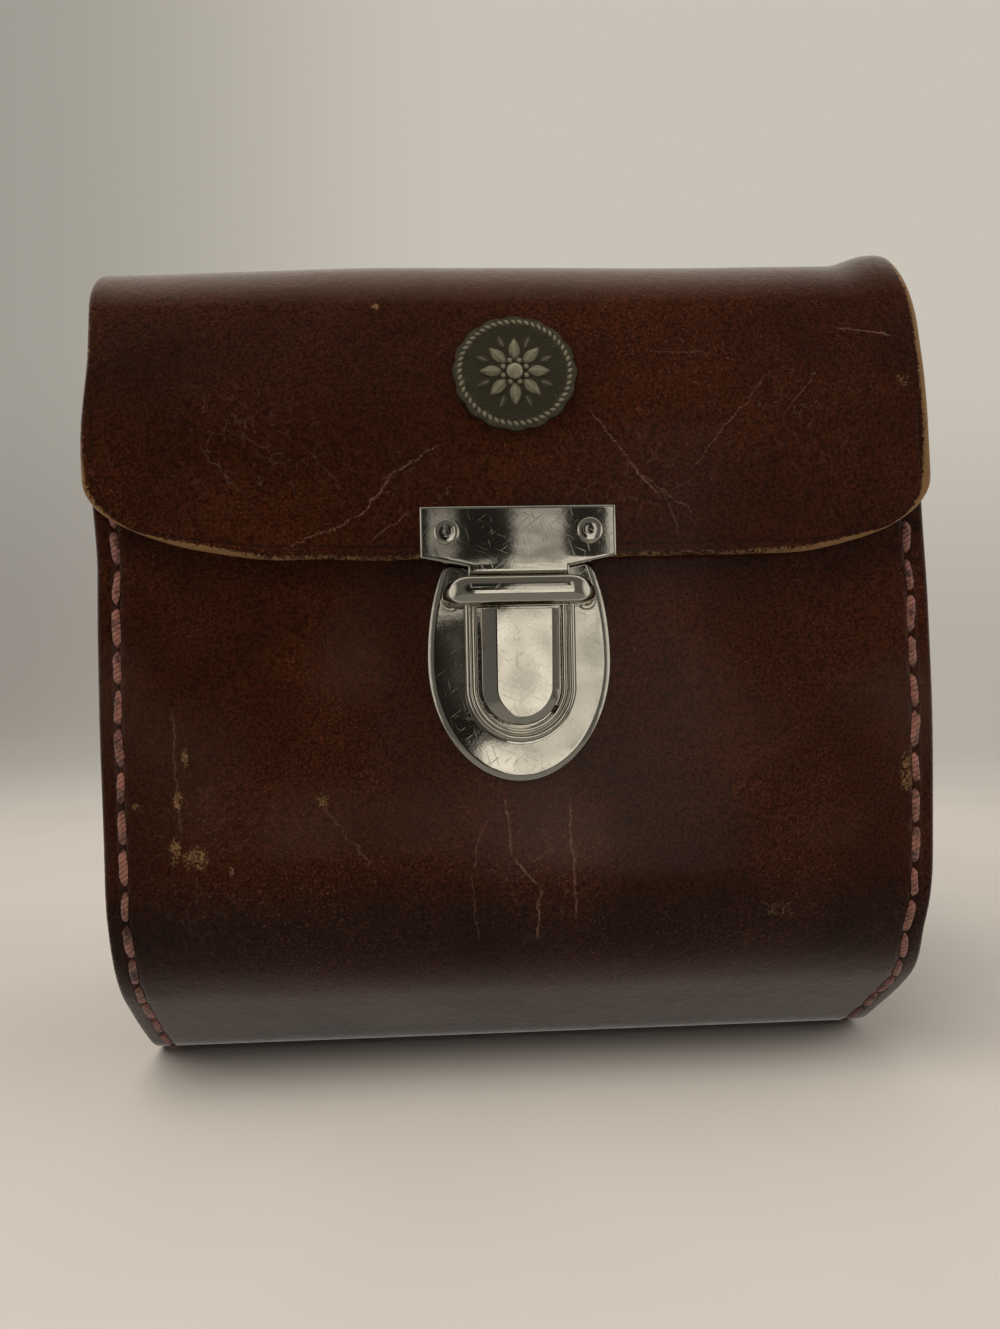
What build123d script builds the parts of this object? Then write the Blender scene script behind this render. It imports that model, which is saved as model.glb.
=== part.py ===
from build123d import *
import math
import os

# A leather hard case for a small prism binocular, in millimetres.
# +Z is up, the front with the latch faces -Y and the width runs along X.
# The origin lies on the standing plane, under the middle of the body's width and depth.

# ---- the case as a whole ----
case_width = 140.0
case_depth = 80.0
case_height = 147.5
leather = 2.8            # strip that makes the front, bottom, back and lid
gusset_leather = 2.4     # moulded end panels
cloth = 0.8              # lining
edge_round = 0.7         # burnished edges of the strip

# ---- side profile of the body ----
roll_start = 40.0        # height at which the front starts to roll under
roll_radius = 34.0
roll_angle = 45.0        # turn of the roll before the ramp
toe_radius = 12.0        # ramp to standing face
heel_radius = 9.0        # standing face to back
flap_lap = 17.0          # front's upper edge above the flap's lowest line
crown_radius = 9.0       # back to top, on the lid

# ---- lid strip ----
flap_gap = 0.4           # air between the flap and the front
flap_drop = 54.5         # top of the case to the lowest line of the flap
lean_above_rim = 3.0     # flap starts to lean back this far above the front's upper edge
lean_radius = 60.0
lean_angle = 12.0
brow_radius = 14.0       # flap to top
flap_corner = 15.0       # rounded corners of the flap
flap_sweep_radius = 90.0  # long easy curve between a corner and the straight edge
flap_sweep_angle = 12.0
hinge_gap = 0.3          # parting of body and lid at the fold

# ---- end panels ----
gusset_recess = 8.0      # depth of the panel behind the case's side edges
gusset_lid_gap = 0.6     # panel's rim to the lid above it
gusset_rim_radius = 13.0
gusset_bend = 2.0        # moulded bend between panel and flange, on the inside

# ---- seams ----
seam_inset = 3.4         # side edge to the middle of the stitches
stitch_pitch = 6.6
stitch_gap = 1.3         # between the ends of two stitches
thread_width = 1.2
thread_depth = 0.6
groove_width = 1.6
groove_depth = 0.7
seam_end = 4.0           # last stitch to the end of the strip

# ---- latch half on the body ----
escutcheon_half_width = 15.5
escutcheon_drop = 17.0        # flap's lowest line to the escutcheon's widest line
escutcheon_below = 20.5       # widest line to the lowest point
escutcheon_above = 28.0       # semi-axis of the upper ellipse
escutcheon_flap_gap = 0.4     # upper edge to the flap's edge
escutcheon_sheet = 0.9
escutcheon_bevel = 0.5
staple_spread = 23.0          # leg to leg
staple_drop = 7.5             # flap's lowest line to the staple's legs
staple_leg_radius = 1.3
staple_bar_height = 4.4
staple_bar_depth = 2.8
staple_bend = 3.5
staple_swell = 0.6             # the bar's oval section starts this far above the collars
staple_rise = 1.4             # the bar stands this much above its legs
collar_radius = 1.9
collar_height = 0.6
backing_sheet = 0.8
backing_size = (30.0, 8.0)
peen_height = 0.3             # spread ends of the legs
peen_radius = 2.1
tab_width = 3.0               # prong that holds the plate's foot
tab_sheet = 0.7
tab_length = 4.5
tab_above_foot = 4.0

# ---- latch half on the lid ----
hasp_width = 32.3
hasp_height = 8.4
hasp_sheet = 1.0
hasp_shoulder = 1.6           # fall of the lower edge towards the neck
hasp_bevel = 0.35
neck_width = 16.7
neck_drop = 3.0               # height over which the neck steps back
tongue_width = 18.6
tongue_rail = 2.5             # width of the frame round the catch
tongue_depth = 2.4
tongue_round = 0.6
tongue_base_gap = 0.3         # tongue to the plate behind it
tongue_back_sheet = 0.4
tongue_lip = 0.5              # back sheet shows this much below the frame
bar_gap = 0.4                 # tongue to the bar in front of it
catch_gap = 0.35              # catch to the frame, all round
catch_sheet = 0.6
catch_height = 19.2
catch_proud = 2.6             # upper edge of the catch in front of the frame
catch_under_bar = 0.3
catch_bevel = 0.8
catch_travel = 8.0            # degrees
pin_radius = 0.5
pin_clearance = 0.05
pin_above_foot = 2.6          # pin above the lower end of the catch
pin_bite = 1.2                # length held in each side of the frame
pin_behind_face = 1.2         # pin's middle behind the face of the frame
leaf_sheet = 0.3              # leaf spring behind the catch
leaf_width = 7.0
leaf_above_pin = 3.0          # pin to the spring's fold
leaf_long = 9.5               # height of the leg on the catch
leaf_short = 7.0              # height of the leg towards the back sheet
leaf_fold = 0.6               # outer radius of the fold
leaf_gap = 0.15               # short leg to the back sheet with the catch pressed

# ---- rivets ----
hasp_rivet_spread = 23.6
hasp_rivet_height = 4.2       # above the plate's lower corners
hasp_rivet_head = 2.1
hasp_rivet_dome = 0.8
hasp_rivet_shank = 1.1
hasp_washer_radius = 2.8
washer_sheet = 0.6
washer_sink = 1.0             # depth of the seat in the leather
washer_room = 0.15            # seat wider than the washer

# ---- badge ----
badge_half_width = 10.4
badge_half_height = 10.0
badge_drop = 24.0             # top of the case to the middle of the badge
badge_sheet = 1.0
badge_rim = 1.3
badge_rim_rise = 0.5
petal_count = 8
petal_length = 5.4
petal_width = 2.3
petal_root = 0.5             # petals run this far under the boss
petal_rise = 0.45
boss_radius = 1.7
boss_rise = 0.9
prong_spread = 12.0
prong_radius = 0.5
keeper_size = (16.0, 4.0)

# ---- belt loop on the back ----
loop_width = 32.0
loop_leather = 2.4
loop_foot = 28.0              # height of its lower end
loop_length = 82.0
loop_tab = 14.0               # riveted end
loop_ramp = 6.0
loop_air = 5.0
loop_rivet_inset = 7.0
loop_rivet_spread = 18.0
loop_rivet_head = 3.6
loop_rivet_dome = 1.4
loop_rivet_shank = 1.3
loop_washer_radius = 3.4

# ---- worked out from the above ----
half_width = case_width / 2
body_front = -case_depth / 2
body_back = case_depth / 2
hinge_height = case_height - crown_radius
lid_front = body_front - flap_gap - leather
panel_face = half_width - gusset_recess
panel_inside = panel_face - gusset_leather
gusset_top = case_height - leather - gusset_lid_gap
flap_edge = case_height - flap_drop
front_rim = flap_edge + flap_lap
lean_start = front_rim + lean_above_rim
escutcheon_middle = flap_edge - escutcheon_drop
escutcheon_top = flap_edge - escutcheon_flap_gap
staple_foot = flap_edge - staple_drop
badge_height = case_height - badge_drop
tongue_back = escutcheon_sheet + tongue_base_gap
tongue_rear = tongue_back + tongue_back_sheet
tongue_face = tongue_rear + tongue_depth
bar_inner = tongue_face + bar_gap
bar_middle = bar_inner + staple_bar_depth / 2
bar_height = staple_foot + staple_rise
catch_top = bar_height - staple_bar_height / 2 - catch_under_bar
catch_foot = catch_top - catch_height
catch_half = tongue_width / 2 - tongue_rail - catch_gap
pin_height = catch_foot + pin_above_foot
pin_out = tongue_face - pin_behind_face
flap_out = flap_gap + leather
hasp_rivet_level = flap_edge + hasp_rivet_height
EVERYWHERE = 400.0


def on_front(out):
    """Plane parallel to the body's front, the given distance in front of it; local y is up."""
    return Plane(origin=(0, body_front - out, 0), x_dir=(1, 0, 0), z_dir=(0, -1, 0))


def on_back(out):
    """Plane parallel to the body's back, the given distance behind it; local y is up."""
    return Plane(origin=(0, body_back + out, 0), x_dir=(-1, 0, 0), z_dir=(0, 1, 0))


def half_space(side, limit):
    """Large block on one side of a height ("above", "below") or a depth ("ahead", "behind")."""
    middle = limit + EVERYWHERE / 2 if side in ("above", "behind") else limit - EVERYWHERE / 2
    place = (0, 0, middle) if side in ("above", "below") else (0, middle, 0)
    return Pos(*place) * Box(EVERYWHERE, EVERYWHERE, EVERYWHERE)


def slab(face, x_low, x_high):
    """A side profile made solid between two places across the width."""
    return Part() + Pos(x_low, 0, 0) * Solid.extrude(face, Vector(x_high - x_low, 0, 0))


def across(face, width):
    """A side profile made solid over a width about the middle of the case."""
    return slab(face, -width / 2, width / 2)


def mirrored(shape):
    """The left-hand copy of a right-hand piece."""
    return mirror(shape, about=Plane.YZ)


def body_path(inset, front_top, back_top):
    """Line of the strip round the body, front top to back top, an inset inside its outer face."""
    turn = math.radians(roll_angle)
    fall = roll_start - roll_radius * math.sin(turn) - toe_radius * (1 - math.sin(turn))
    ramp_length = fall / math.cos(turn)
    with BuildLine(Plane.YZ) as path:
        front = Line((body_front + inset, front_top), (body_front + inset, roll_start))
        roll = JernArc(front @ 1, (0, -1), roll_radius - inset, roll_angle)
        ramp = PolarLine(roll @ 1, ramp_length, roll_angle - 90)
        toe = JernArc(ramp @ 1, ramp % 1, toe_radius - inset, 90 - roll_angle)
        floor = Line(toe @ 1, (body_back - heel_radius, inset))
        heel = JernArc(floor @ 1, (1, 0), heel_radius - inset, 90)
        Line(heel @ 1, (body_back - inset, back_top))
    return path.wire()


def body_outline(inset, top, corner=0.0):
    """Closed side profile of the body up to a height, with its two upper corners rounded."""
    path = body_path(inset, top, top)
    face = Face(Wire([*path.edges(), Edge.make_line(path @ 1, path @ 0)]))
    if corner > 0:
        upper = face.vertices().group_by(Axis.Z)[-1]
        face = face.fillet_2d(corner, upper)
    return face


def lid_outline(inset):
    """Closed side profile of the lid's outer line, an inset inside it, down to its lowest line."""
    lean = math.radians(lean_angle)
    bend_rise = lean_radius * math.sin(lean)
    brow_rise = brow_radius * (1 - math.sin(lean))
    lean_length = (case_height - lean_start - bend_rise - brow_rise) / math.cos(lean)
    with BuildSketch(Plane.YZ) as outline:
        with BuildLine():
            front = Line((lid_front + inset, flap_edge), (lid_front + inset, lean_start))
            bend = JernArc(front @ 1, (0, 1), lean_radius - inset, -lean_angle)
            slope = PolarLine(bend @ 1, lean_length, 90 - lean_angle)
            brow = JernArc(slope @ 1, slope % 1, brow_radius - inset, lean_angle - 90)
            top = Line(brow @ 1, (body_back - crown_radius, case_height - inset))
            crown = JernArc(top @ 1, (1, 0), crown_radius - inset, -90)
            back = Line(crown @ 1, (body_back - inset, flap_edge))
            Line(back @ 1, front @ 0)
        make_face()
    return outline.sketch.face()


def lid_band(outer, inner):
    """Side profile of a layer of the lid between two insets, open along the back."""
    return across(lid_outline(outer), case_width) - across(lid_outline(inner), case_width + 1)


def flap_shape():
    """Front view of the lid, straight-sided with swept lower corners, as a deep block."""
    sweep_run = flap_sweep_radius * math.sin(math.radians(flap_sweep_angle))
    corner_run = flap_corner * (1 - math.sin(math.radians(flap_sweep_angle)))
    straight = half_width - sweep_run - corner_run
    top = case_height + 1
    with BuildSketch(on_front(0)) as shape:
        with BuildLine():
            edge = Line((0, flap_edge), (straight, flap_edge))
            sweep_arc = JernArc(edge @ 1, (1, 0), flap_sweep_radius, flap_sweep_angle)
            corner = JernArc(sweep_arc @ 1, sweep_arc % 1, flap_corner, 90 - flap_sweep_angle)
            side = Line(corner @ 1, (half_width, top))
            Line(side @ 1, (0, top))
            Line((0, top), edge @ 0)
        make_face()
        mirror(about=Plane.YZ)
    return extrude(shape.sketch, amount=EVERYWHERE / 2, both=True)


def plate_on_lid(outer, inner, outline):
    """A layer that follows the lid's curve between two insets, cut to a front-view outline."""
    cutter = extrude(on_front(flap_out) * outline, amount=EVERYWHERE / 8, both=True)
    return lid_band(outer, inner) & cutter & half_space("ahead", 0)


def seam_row(inset_outer, inset_inner, width):
    """Closed groove or thread along the right-hand seam between two insets, ends included."""
    middle = half_width - seam_inset
    outer = body_outline(inset_outer, hinge_height)
    inner = body_outline(inset_inner, hinge_height)
    row = slab(outer, middle - width / 2, middle + width / 2)
    row -= slab(inner, middle - width, middle + width)
    front_end = half_space("above", front_rim - seam_end) & half_space("ahead", 0)
    return row - front_end - half_space("above", hinge_height - seam_end)


def stitches(inset_outer):
    """Separate stitches of one thread row on the right-hand seam."""
    thread = seam_row(inset_outer, inset_outer + thread_depth, thread_width)
    path = body_path(inset_outer, front_rim - seam_end, hinge_height - seam_end)
    count = round(path.length / stitch_pitch)
    gaps = []
    for index in range(count + 1):
        distance = index / count
        place = Plane(path @ distance, x_dir=path % distance, z_dir=(1, 0, 0))
        hole = place * Box(stitch_gap, 3 * groove_depth, 3 * groove_width)
        gaps.append(Pos(half_width - seam_inset, 0, 0) * hole)
    return thread - gaps


def rivet(plane, x, height, top, bottom, head_radius, dome, shank_radius):
    """A domed rivet: its head stands on `top` and its shank ends at `bottom`, both out of the plane."""
    sphere_radius = (head_radius ** 2 + dome ** 2) / (2 * dome)
    ball = Pos(x, height, top + dome - sphere_radius) * Sphere(sphere_radius)
    keep = Pos(x, height, top) * Cylinder(head_radius * 1.5, dome * 2,
                                          align=(Align.CENTER, Align.CENTER, Align.MIN))
    shank = Pos(x, height, bottom) * Cylinder(shank_radius, top - bottom,
                                              align=(Align.CENTER, Align.CENTER, Align.MIN))
    return plane * ((ball & keep) + shank)


def disc(plane, x, height, low, thick, radius):
    """A plain disc that starts at `low` out of the plane."""
    return plane * (Pos(x, height, low) * Cylinder(radius, thick,
                                                   align=(Align.CENTER, Align.CENTER, Align.MIN)))


def egg(inset):
    """Front view of the escutcheon: two half ellipses, cut straight along the top."""
    half = escutcheon_half_width - inset
    below = escutcheon_below - inset
    above = escutcheon_above - inset
    top = escutcheon_top - inset - escutcheon_middle
    lower = Ellipse(half, below) & (Pos(0, -below) * Rectangle(4 * half, 2 * below))
    upper = Ellipse(half, above) & (Pos(0, top / 2) * Rectangle(4 * half, top))
    return Pos(0, escutcheon_middle) * (lower + upper)


def shield(half, foot, top):
    """Straight-sided outline with a round lower end."""
    round_end = Pos(0, foot + half) * Circle(half)
    straight = Pos(0, (foot + half + top) / 2) * Rectangle(2 * half, top - foot - half)
    return round_end + straight


staple_legs = [-staple_spread / 2, staple_spread / 2]
hasp_rivets_x = [-hasp_rivet_spread / 2, hasp_rivet_spread / 2]
loop_rivets_x = [-loop_rivet_spread / 2, loop_rivet_spread / 2]
loop_rivets_z = [loop_foot + loop_rivet_inset, loop_foot + loop_length - loop_rivet_inset]
loop_rivet_places = [(x, z) for x in loop_rivets_x for z in loop_rivets_z]


# ---- the strip round the body ----
def make_body_wrap():
    """Front, bottom and back in one strip, with seats for what is riveted through it."""
    strip = across(body_outline(0, hinge_height - hinge_gap / 2), case_width)
    strip -= across(body_outline(leather, hinge_height + 1), case_width + 1)
    strip -= half_space("above", front_rim) & half_space("ahead", 0)
    front_lip = [edge for edge in strip.edges().filter_by(Axis.X)
                 if abs(edge.center().Z - front_rim) < edge_round]
    strip = fillet(front_lip, edge_round)
    groove = seam_row(-1, groove_depth, groove_width)
    strip -= groove
    strip -= mirrored(groove)
    width, height = backing_size
    sink = backing_sheet + peen_height
    room = washer_room
    seat = Rectangle(width + 2 * room, height + 2 * room)
    strip -= extrude(on_front(sink - leather) * (Pos(0, staple_foot) * seat), amount=-sink)
    for x in staple_legs:
        strip -= disc(on_front(-leather), x, staple_foot, 0, leather, staple_leg_radius)
    tab_height = escutcheon_middle - escutcheon_below + tab_above_foot
    slot = Rectangle(tab_width, tab_sheet)
    strip -= extrude(on_front(0) * (Pos(0, tab_height) * slot), amount=-leather)
    fold = Pos(0, tab_height + (tab_length - tab_sheet) / 2) * Rectangle(tab_width, tab_length)
    strip -= extrude(on_front(tab_sheet - leather) * fold, amount=-tab_sheet)
    for x, z in loop_rivet_places:
        strip -= disc(on_back(-leather), x, z, 0, leather, loop_rivet_shank)
        strip -= disc(on_back(-leather), x, z, 0, washer_sink, loop_washer_radius + washer_room)
    return strip


def make_gusset():
    """Right-hand end panel, moulded as a shallow tray with its flange turned outwards."""
    flange_inset = leather + gusset_leather
    tray = slab(body_outline(leather, gusset_top, gusset_rim_radius), panel_inside, half_width)
    pocket_face = body_outline(flange_inset, gusset_top - gusset_leather,
                               gusset_rim_radius - gusset_leather)
    pocket = slab(pocket_face, panel_face, half_width + 1)
    pocket = fillet(pocket.faces().sort_by(Axis.X)[0].edges(), gusset_bend)
    tray -= pocket
    bend = tray.faces().sort_by(Axis.X)[0].edges()
    tray = fillet(bend, gusset_bend)
    tray -= seam_row(flange_inset - groove_depth, flange_inset + 1, groove_width)
    return tray


def make_seam_thread():
    """Right-hand seam: a row outside on the strip and a row inside on the flange."""
    outside = stitches(groove_depth - thread_depth)
    inside = stitches(leather + gusset_leather - groove_depth)
    return Compound(children=[*outside.solids(), *inside.solids()])


def make_body_lining():
    """Cloth glued to the inside of the strip, between the end panels."""
    width = 2 * (panel_inside - gusset_bend)
    sheet = across(body_outline(leather, hinge_height - 2 * cloth), width)
    sheet -= across(body_outline(leather + cloth, hinge_height), width + 1)
    return sheet - (half_space("above", front_rim - 2 * cloth) & half_space("ahead", 0))


def make_gusset_lining():
    """Cloth glued to the inside of the right-hand end panel."""
    margin = leather + gusset_bend + cloth
    face = body_outline(margin, gusset_top - gusset_bend - cloth, gusset_rim_radius - gusset_bend)
    return slab(face, panel_inside - cloth, panel_inside)


def make_base_plate():
    """Escutcheon behind the latch: a bevelled egg with two collars and a prong at its foot."""
    plate = extrude(on_front(0) * egg(0), amount=escutcheon_sheet)
    rim = plate.faces().sort_by(Axis.Y)[0].outer_wire().edges()
    plate = chamfer(rim, escutcheon_bevel)
    for x in staple_legs:
        plate += disc(on_front(0), x, staple_foot, 0, escutcheon_sheet + collar_height, collar_radius)
        plate -= disc(on_front(0), x, staple_foot, -1, EVERYWHERE / 8, staple_leg_radius)
    tab_height = escutcheon_middle - escutcheon_below + tab_above_foot
    stem = Pos(0, tab_height) * Rectangle(tab_width, tab_sheet)
    plate += extrude(on_front(0) * stem, amount=-leather)
    fold = Pos(0, tab_height + (tab_length - tab_sheet) / 2) * Rectangle(tab_width, tab_length)
    return plate + extrude(on_front(tab_sheet - leather) * fold, amount=-tab_sheet)


def make_staple():
    """Fixed bar: legs through the plate and the leather, their ends spread on the backing plate."""
    reach = math.hypot(bar_middle, staple_rise)
    half = staple_spread / 2
    foot = escutcheon_sheet + collar_height
    start = foot + staple_swell
    tilt = math.degrees(math.atan2(staple_rise, bar_middle))
    section = Rot(0, 0, 90) * SlotOverall(staple_bar_height, staple_bar_depth)
    leg = Pos(half, 0, start) * extrude(section, amount=reach - staple_bend - start)
    corner = Plane(origin=(half, 0, reach - staple_bend)) * section
    turn_axis = Axis((half - staple_bend, 0, reach - staple_bend), (0, -1, 0))
    bend = revolve(corner, axis=turn_axis, revolution_arc=90)
    bar = Plane.YZ * Rot(0, 0, 90) * section
    bar = Pos(0, 0, reach) * extrude(bar, amount=half - staple_bend)
    right = leg + bend + bar
    staple = right + mirror(right, about=Plane.YZ)
    staple = on_front(0) * Pos(0, staple_foot, 0) * Rot(-tilt, 0, 0) * staple
    shank_start = peen_height - leather
    for x in staple_legs:
        staple += disc(on_front(0), x, staple_foot, shank_start,
                       foot + staple_leg_radius - shank_start, staple_leg_radius)
        staple += disc(on_front(-leather), x, staple_foot, 0, peen_height, peen_radius)
    return staple


def make_backing_plate():
    """Flat plate let into the inside of the leather, under the spread ends of the staple."""
    sheet = extrude(on_front(peen_height - leather) * (Pos(0, staple_foot) * Rectangle(*backing_size)),
                    amount=backing_sheet)
    for x in staple_legs:
        sheet -= disc(on_front(-leather), x, staple_foot, 0, leather, staple_leg_radius)
    return sheet


# ---- the belt loop on the back ----
def make_belt_loop():
    """Upright leather strap riveted at both ends, with room for a belt behind its middle."""
    low = loop_foot
    high = loop_foot + loop_length
    flat = body_back
    proud = body_back + loop_air
    inner = [(flat, low), (flat, low + loop_tab), (proud, low + loop_tab + loop_ramp),
             (proud, high - loop_tab - loop_ramp), (flat, high - loop_tab), (flat, high)]
    spine = FilletPolyline(*inner, radius=loop_leather)
    outer = [(y + loop_leather, z) for y, z in inner]
    skin = FilletPolyline(*outer, radius=2 * loop_leather)
    profile = make_face([*spine.edges(), *skin.edges(),
                         Line(spine @ 0, skin @ 0), Line(spine @ 1, skin @ 1)])
    strap = across(Plane.YZ * profile.face(), loop_width)
    for x, z in loop_rivet_places:
        strap -= disc(on_back(0), x, z, 0, loop_leather, loop_rivet_shank)
    return strap


def make_loop_rivets():
    """Four domed rivets through the loop and the back."""
    start = peen_height - leather
    rivets = [rivet(on_back(0), x, z, loop_leather, start, loop_rivet_head, loop_rivet_dome,
                    loop_rivet_shank) for x, z in loop_rivet_places]
    return Compound(children=[solid for one in rivets for solid in one.solids()])


def washers(plane, places, low, radius, hole):
    """Flat washers at several places, as separate solids."""
    rings = [disc(plane, x, z, low, washer_sheet, radius) - disc(plane, x, z, low, washer_sheet, hole)
             for x, z in places]
    return Compound(children=[solid for ring in rings for solid in ring.solids()])


# ---- the lid ----
def make_lid_flap():
    """Top and front flap in one strip, from the fold at the back to the swept lower edge."""
    strip = lid_band(0, leather) & flap_shape()
    strip -= half_space("below", hinge_height + hinge_gap / 2) & half_space("behind", 0)
    for x in hasp_rivets_x:
        strip -= disc(on_front(flap_gap), x, hasp_rivet_level, 0, leather, hasp_rivet_shank)
        strip -= disc(on_front(flap_gap), x, hasp_rivet_level, 0, washer_sink,
                      hasp_washer_radius + washer_room)
    for x in (-prong_spread / 2, prong_spread / 2):
        strip -= disc(on_front(0), x, badge_height, -EVERYWHERE / 16, EVERYWHERE / 8, prong_radius)
    width, height = keeper_size
    room = Pos(0, badge_height) * Rectangle(width + 2 * washer_room, height + 2 * washer_room)
    return strip - plate_on_lid(leather - washer_sink, leather + 1, room)


def make_lid_lining():
    """Cloth glued inside the top and the upper front of the lid."""
    sheet = across(lid_outline(leather), 2 * (panel_inside - gusset_bend))
    sheet -= across(lid_outline(leather + cloth / 2), case_width)
    sheet -= half_space("below", hinge_height + cloth) & half_space("behind", 0)
    return sheet - half_space("below", front_rim + 2 * cloth)


def make_hasp_plate():
    """Plate on the flap, neck and tongue frame in one pressing."""
    half = hasp_width / 2
    neck = neck_width / 2
    top = flap_edge + hasp_height
    shoulder = flap_edge - hasp_shoulder
    step = shoulder - neck_drop
    rail_top = catch_top + catch_gap
    with BuildSketch(on_front(0)) as front_view:
        with BuildLine():
            Polyline((half, top), (half, flap_edge), (neck, shoulder), (neck, rail_top),
                     (-neck, rail_top), (-neck, shoulder), (-half, flap_edge), (-half, top),
                     close=True)
        make_face()
    blank = extrude(front_view.sketch, amount=EVERYWHERE / 8)
    high = body_front - flap_out
    low = body_front - tongue_rear
    with BuildSketch(Plane.YZ) as side_view:
        with BuildLine():
            Polyline((high, top), (high, flap_edge - hasp_shoulder / 2), (low, step), (low, rail_top),
                     (low - hasp_sheet, rail_top), (low - hasp_sheet, step - hasp_sheet / 2),
                     (high - hasp_sheet, flap_edge - hasp_shoulder), (high - hasp_sheet, top),
                     close=True)
        make_face()
    plate = blank & across(side_view.sketch.face(), hasp_width)
    front_face = plate.faces().sort_by(Axis.Y)[0]
    plate = chamfer([edge for edge in front_face.edges() if edge.center().Z > flap_edge - 0.1],
                    hasp_bevel)
    frame_foot = catch_foot - catch_gap - tongue_rail
    rail_plane = on_front(tongue_rear)
    frame = extrude(rail_plane * shield(tongue_width / 2, frame_foot, rail_top + tongue_rail),
                    amount=tongue_depth)
    frame = fillet(frame.faces().sort_by(Axis.Y)[0].edges(), tongue_round)
    frame -= extrude(rail_plane * shield(tongue_width / 2 - tongue_rail, frame_foot + tongue_rail,
                                         rail_top), amount=tongue_depth)
    plate += frame
    for x in hasp_rivets_x:
        plate -= disc(on_front(0), x, hasp_rivet_level, flap_out, hasp_sheet, hasp_rivet_shank)
    return plate - pin_rod(pin_radius)


def pin_rod(radius):
    """Round rod on the catch's axis, let into both sides of the frame."""
    window_half = tongue_width / 2 - tongue_rail
    below = window_half - (pin_height - catch_foot + catch_gap)
    reach = math.sqrt(window_half ** 2 - below ** 2) + pin_bite
    place = Pos(0, body_front - pin_out, pin_height) * Rot(0, 90, 0)
    return place * Cylinder(radius, 2 * reach)


def make_tongue_back():
    """Thin sheet behind the frame, showing as a second lip under it."""
    foot = catch_foot - catch_gap - tongue_rail - tongue_lip
    outline = shield(tongue_width / 2, foot, catch_top + catch_gap + tongue_rail)
    return extrude(on_front(tongue_back) * outline, amount=tongue_back_sheet)


def catch_block(inset, low):
    """Body of the catch inside an inset: a shield cut by its sloping face."""
    block = extrude(on_front(low) * shield(catch_half - inset, catch_foot + inset, catch_top),
                    amount=tongue_depth + catch_proud)
    face_foot = body_front - tongue_face + inset
    face_top = face_foot - catch_proud
    with BuildSketch(Plane.YZ) as side_view:
        with BuildLine():
            Polyline((body_front, catch_foot), (face_foot, catch_foot), (face_top, catch_top),
                     (body_front, catch_top), close=True)
        make_face()
    return block & across(side_view.sketch.face(), case_width)


def make_thumb_catch():
    """Hollow sprung catch: hinged at its foot, its upper edge stands under the bar."""
    skirt = tongue_rear + catch_gap
    shell = catch_block(0, skirt)
    sloped = shell.faces().sort_by(Axis.Y)[0]
    shell = chamfer(sloped.edges().sort_by(Axis.Z)[:-1], catch_bevel)
    shell -= catch_block(catch_sheet, skirt)
    swing = math.tan(math.radians(catch_travel))
    with BuildSketch(Plane.YZ) as clearance:
        with BuildLine():
            Polyline((body_front, pin_height), (body_front - skirt, pin_height),
                     (body_front - skirt - swing * (catch_top + 1 - pin_height), catch_top + 1),
                     (body_front, catch_top + 1), close=True)
        make_face()
    shell -= across(clearance.sketch.face(), case_width)
    return shell - pin_rod(pin_radius + pin_clearance)


def make_catch_spring():
    """Folded leaf spring: long leg on the inside of the catch, short leg towards the back sheet."""
    lean = catch_proud / catch_height
    swing = math.tan(math.radians(catch_travel))
    low = pin_height + leaf_above_pin
    front = body_front - tongue_face + catch_sheet - lean * (low - catch_foot)
    rear = body_front - tongue_rear - catch_gap - leaf_gap - swing * leaf_above_pin
    long_leg = (front - lean * leaf_long, low + leaf_long)
    short_leg = (rear - swing * leaf_short, low + leaf_short)
    outer = make_face(Plane.YZ * Polyline(long_leg, (front, low), (rear, low), short_leg, close=True))
    outer = outer.face().fillet_2d(leaf_fold, outer.vertices().group_by(Axis.Z)[0])
    fold_plug = Plane.YZ * Polyline((long_leg[0] + leaf_sheet, long_leg[1] + 1),
                                    (front + leaf_sheet, low + leaf_sheet),
                                    (rear - leaf_sheet, low + leaf_sheet),
                                    (short_leg[0] - leaf_sheet, short_leg[1] + 1), close=True)
    inner = make_face(fold_plug)
    inner = inner.face().fillet_2d(leaf_fold - leaf_sheet, inner.vertices().group_by(Axis.Z)[0])
    return across(outer, leaf_width) - across(inner, leaf_width + 1)


# ---- the badge ----
def rosette():
    """Front view of the petals, evenly round the middle."""
    reach = boss_radius - petal_root + petal_length / 2
    petal = Pos(reach, 0) * Ellipse(petal_length / 2, petal_width / 2)
    flower = Sketch() + [Rot(0, 0, 360 * index / petal_count) * petal for index in range(petal_count)]
    return Pos(0, badge_height) * flower


def make_badge():
    """Oval medallion that follows the lid's curve, with a raised rim and a rosette."""
    centre = Pos(0, badge_height)
    oval = Ellipse(badge_half_width, badge_half_height)
    field = Ellipse(badge_half_width - badge_rim, badge_half_height - badge_rim)
    medal = plate_on_lid(-badge_sheet, 0, centre * oval)
    medal += plate_on_lid(-badge_sheet - badge_rim_rise, 0, centre * (oval - field))
    medal += plate_on_lid(-badge_sheet - petal_rise, 0, rosette())
    medal += plate_on_lid(-badge_sheet - boss_rise, 0, centre * Circle(boss_radius))
    for x in (-prong_spread / 2, prong_spread / 2):
        prong = disc(on_front(0), x, badge_height, -EVERYWHERE / 16, EVERYWHERE / 8, prong_radius)
        medal += prong & lid_band(-badge_sheet, leather - peen_height)
    return medal


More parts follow.
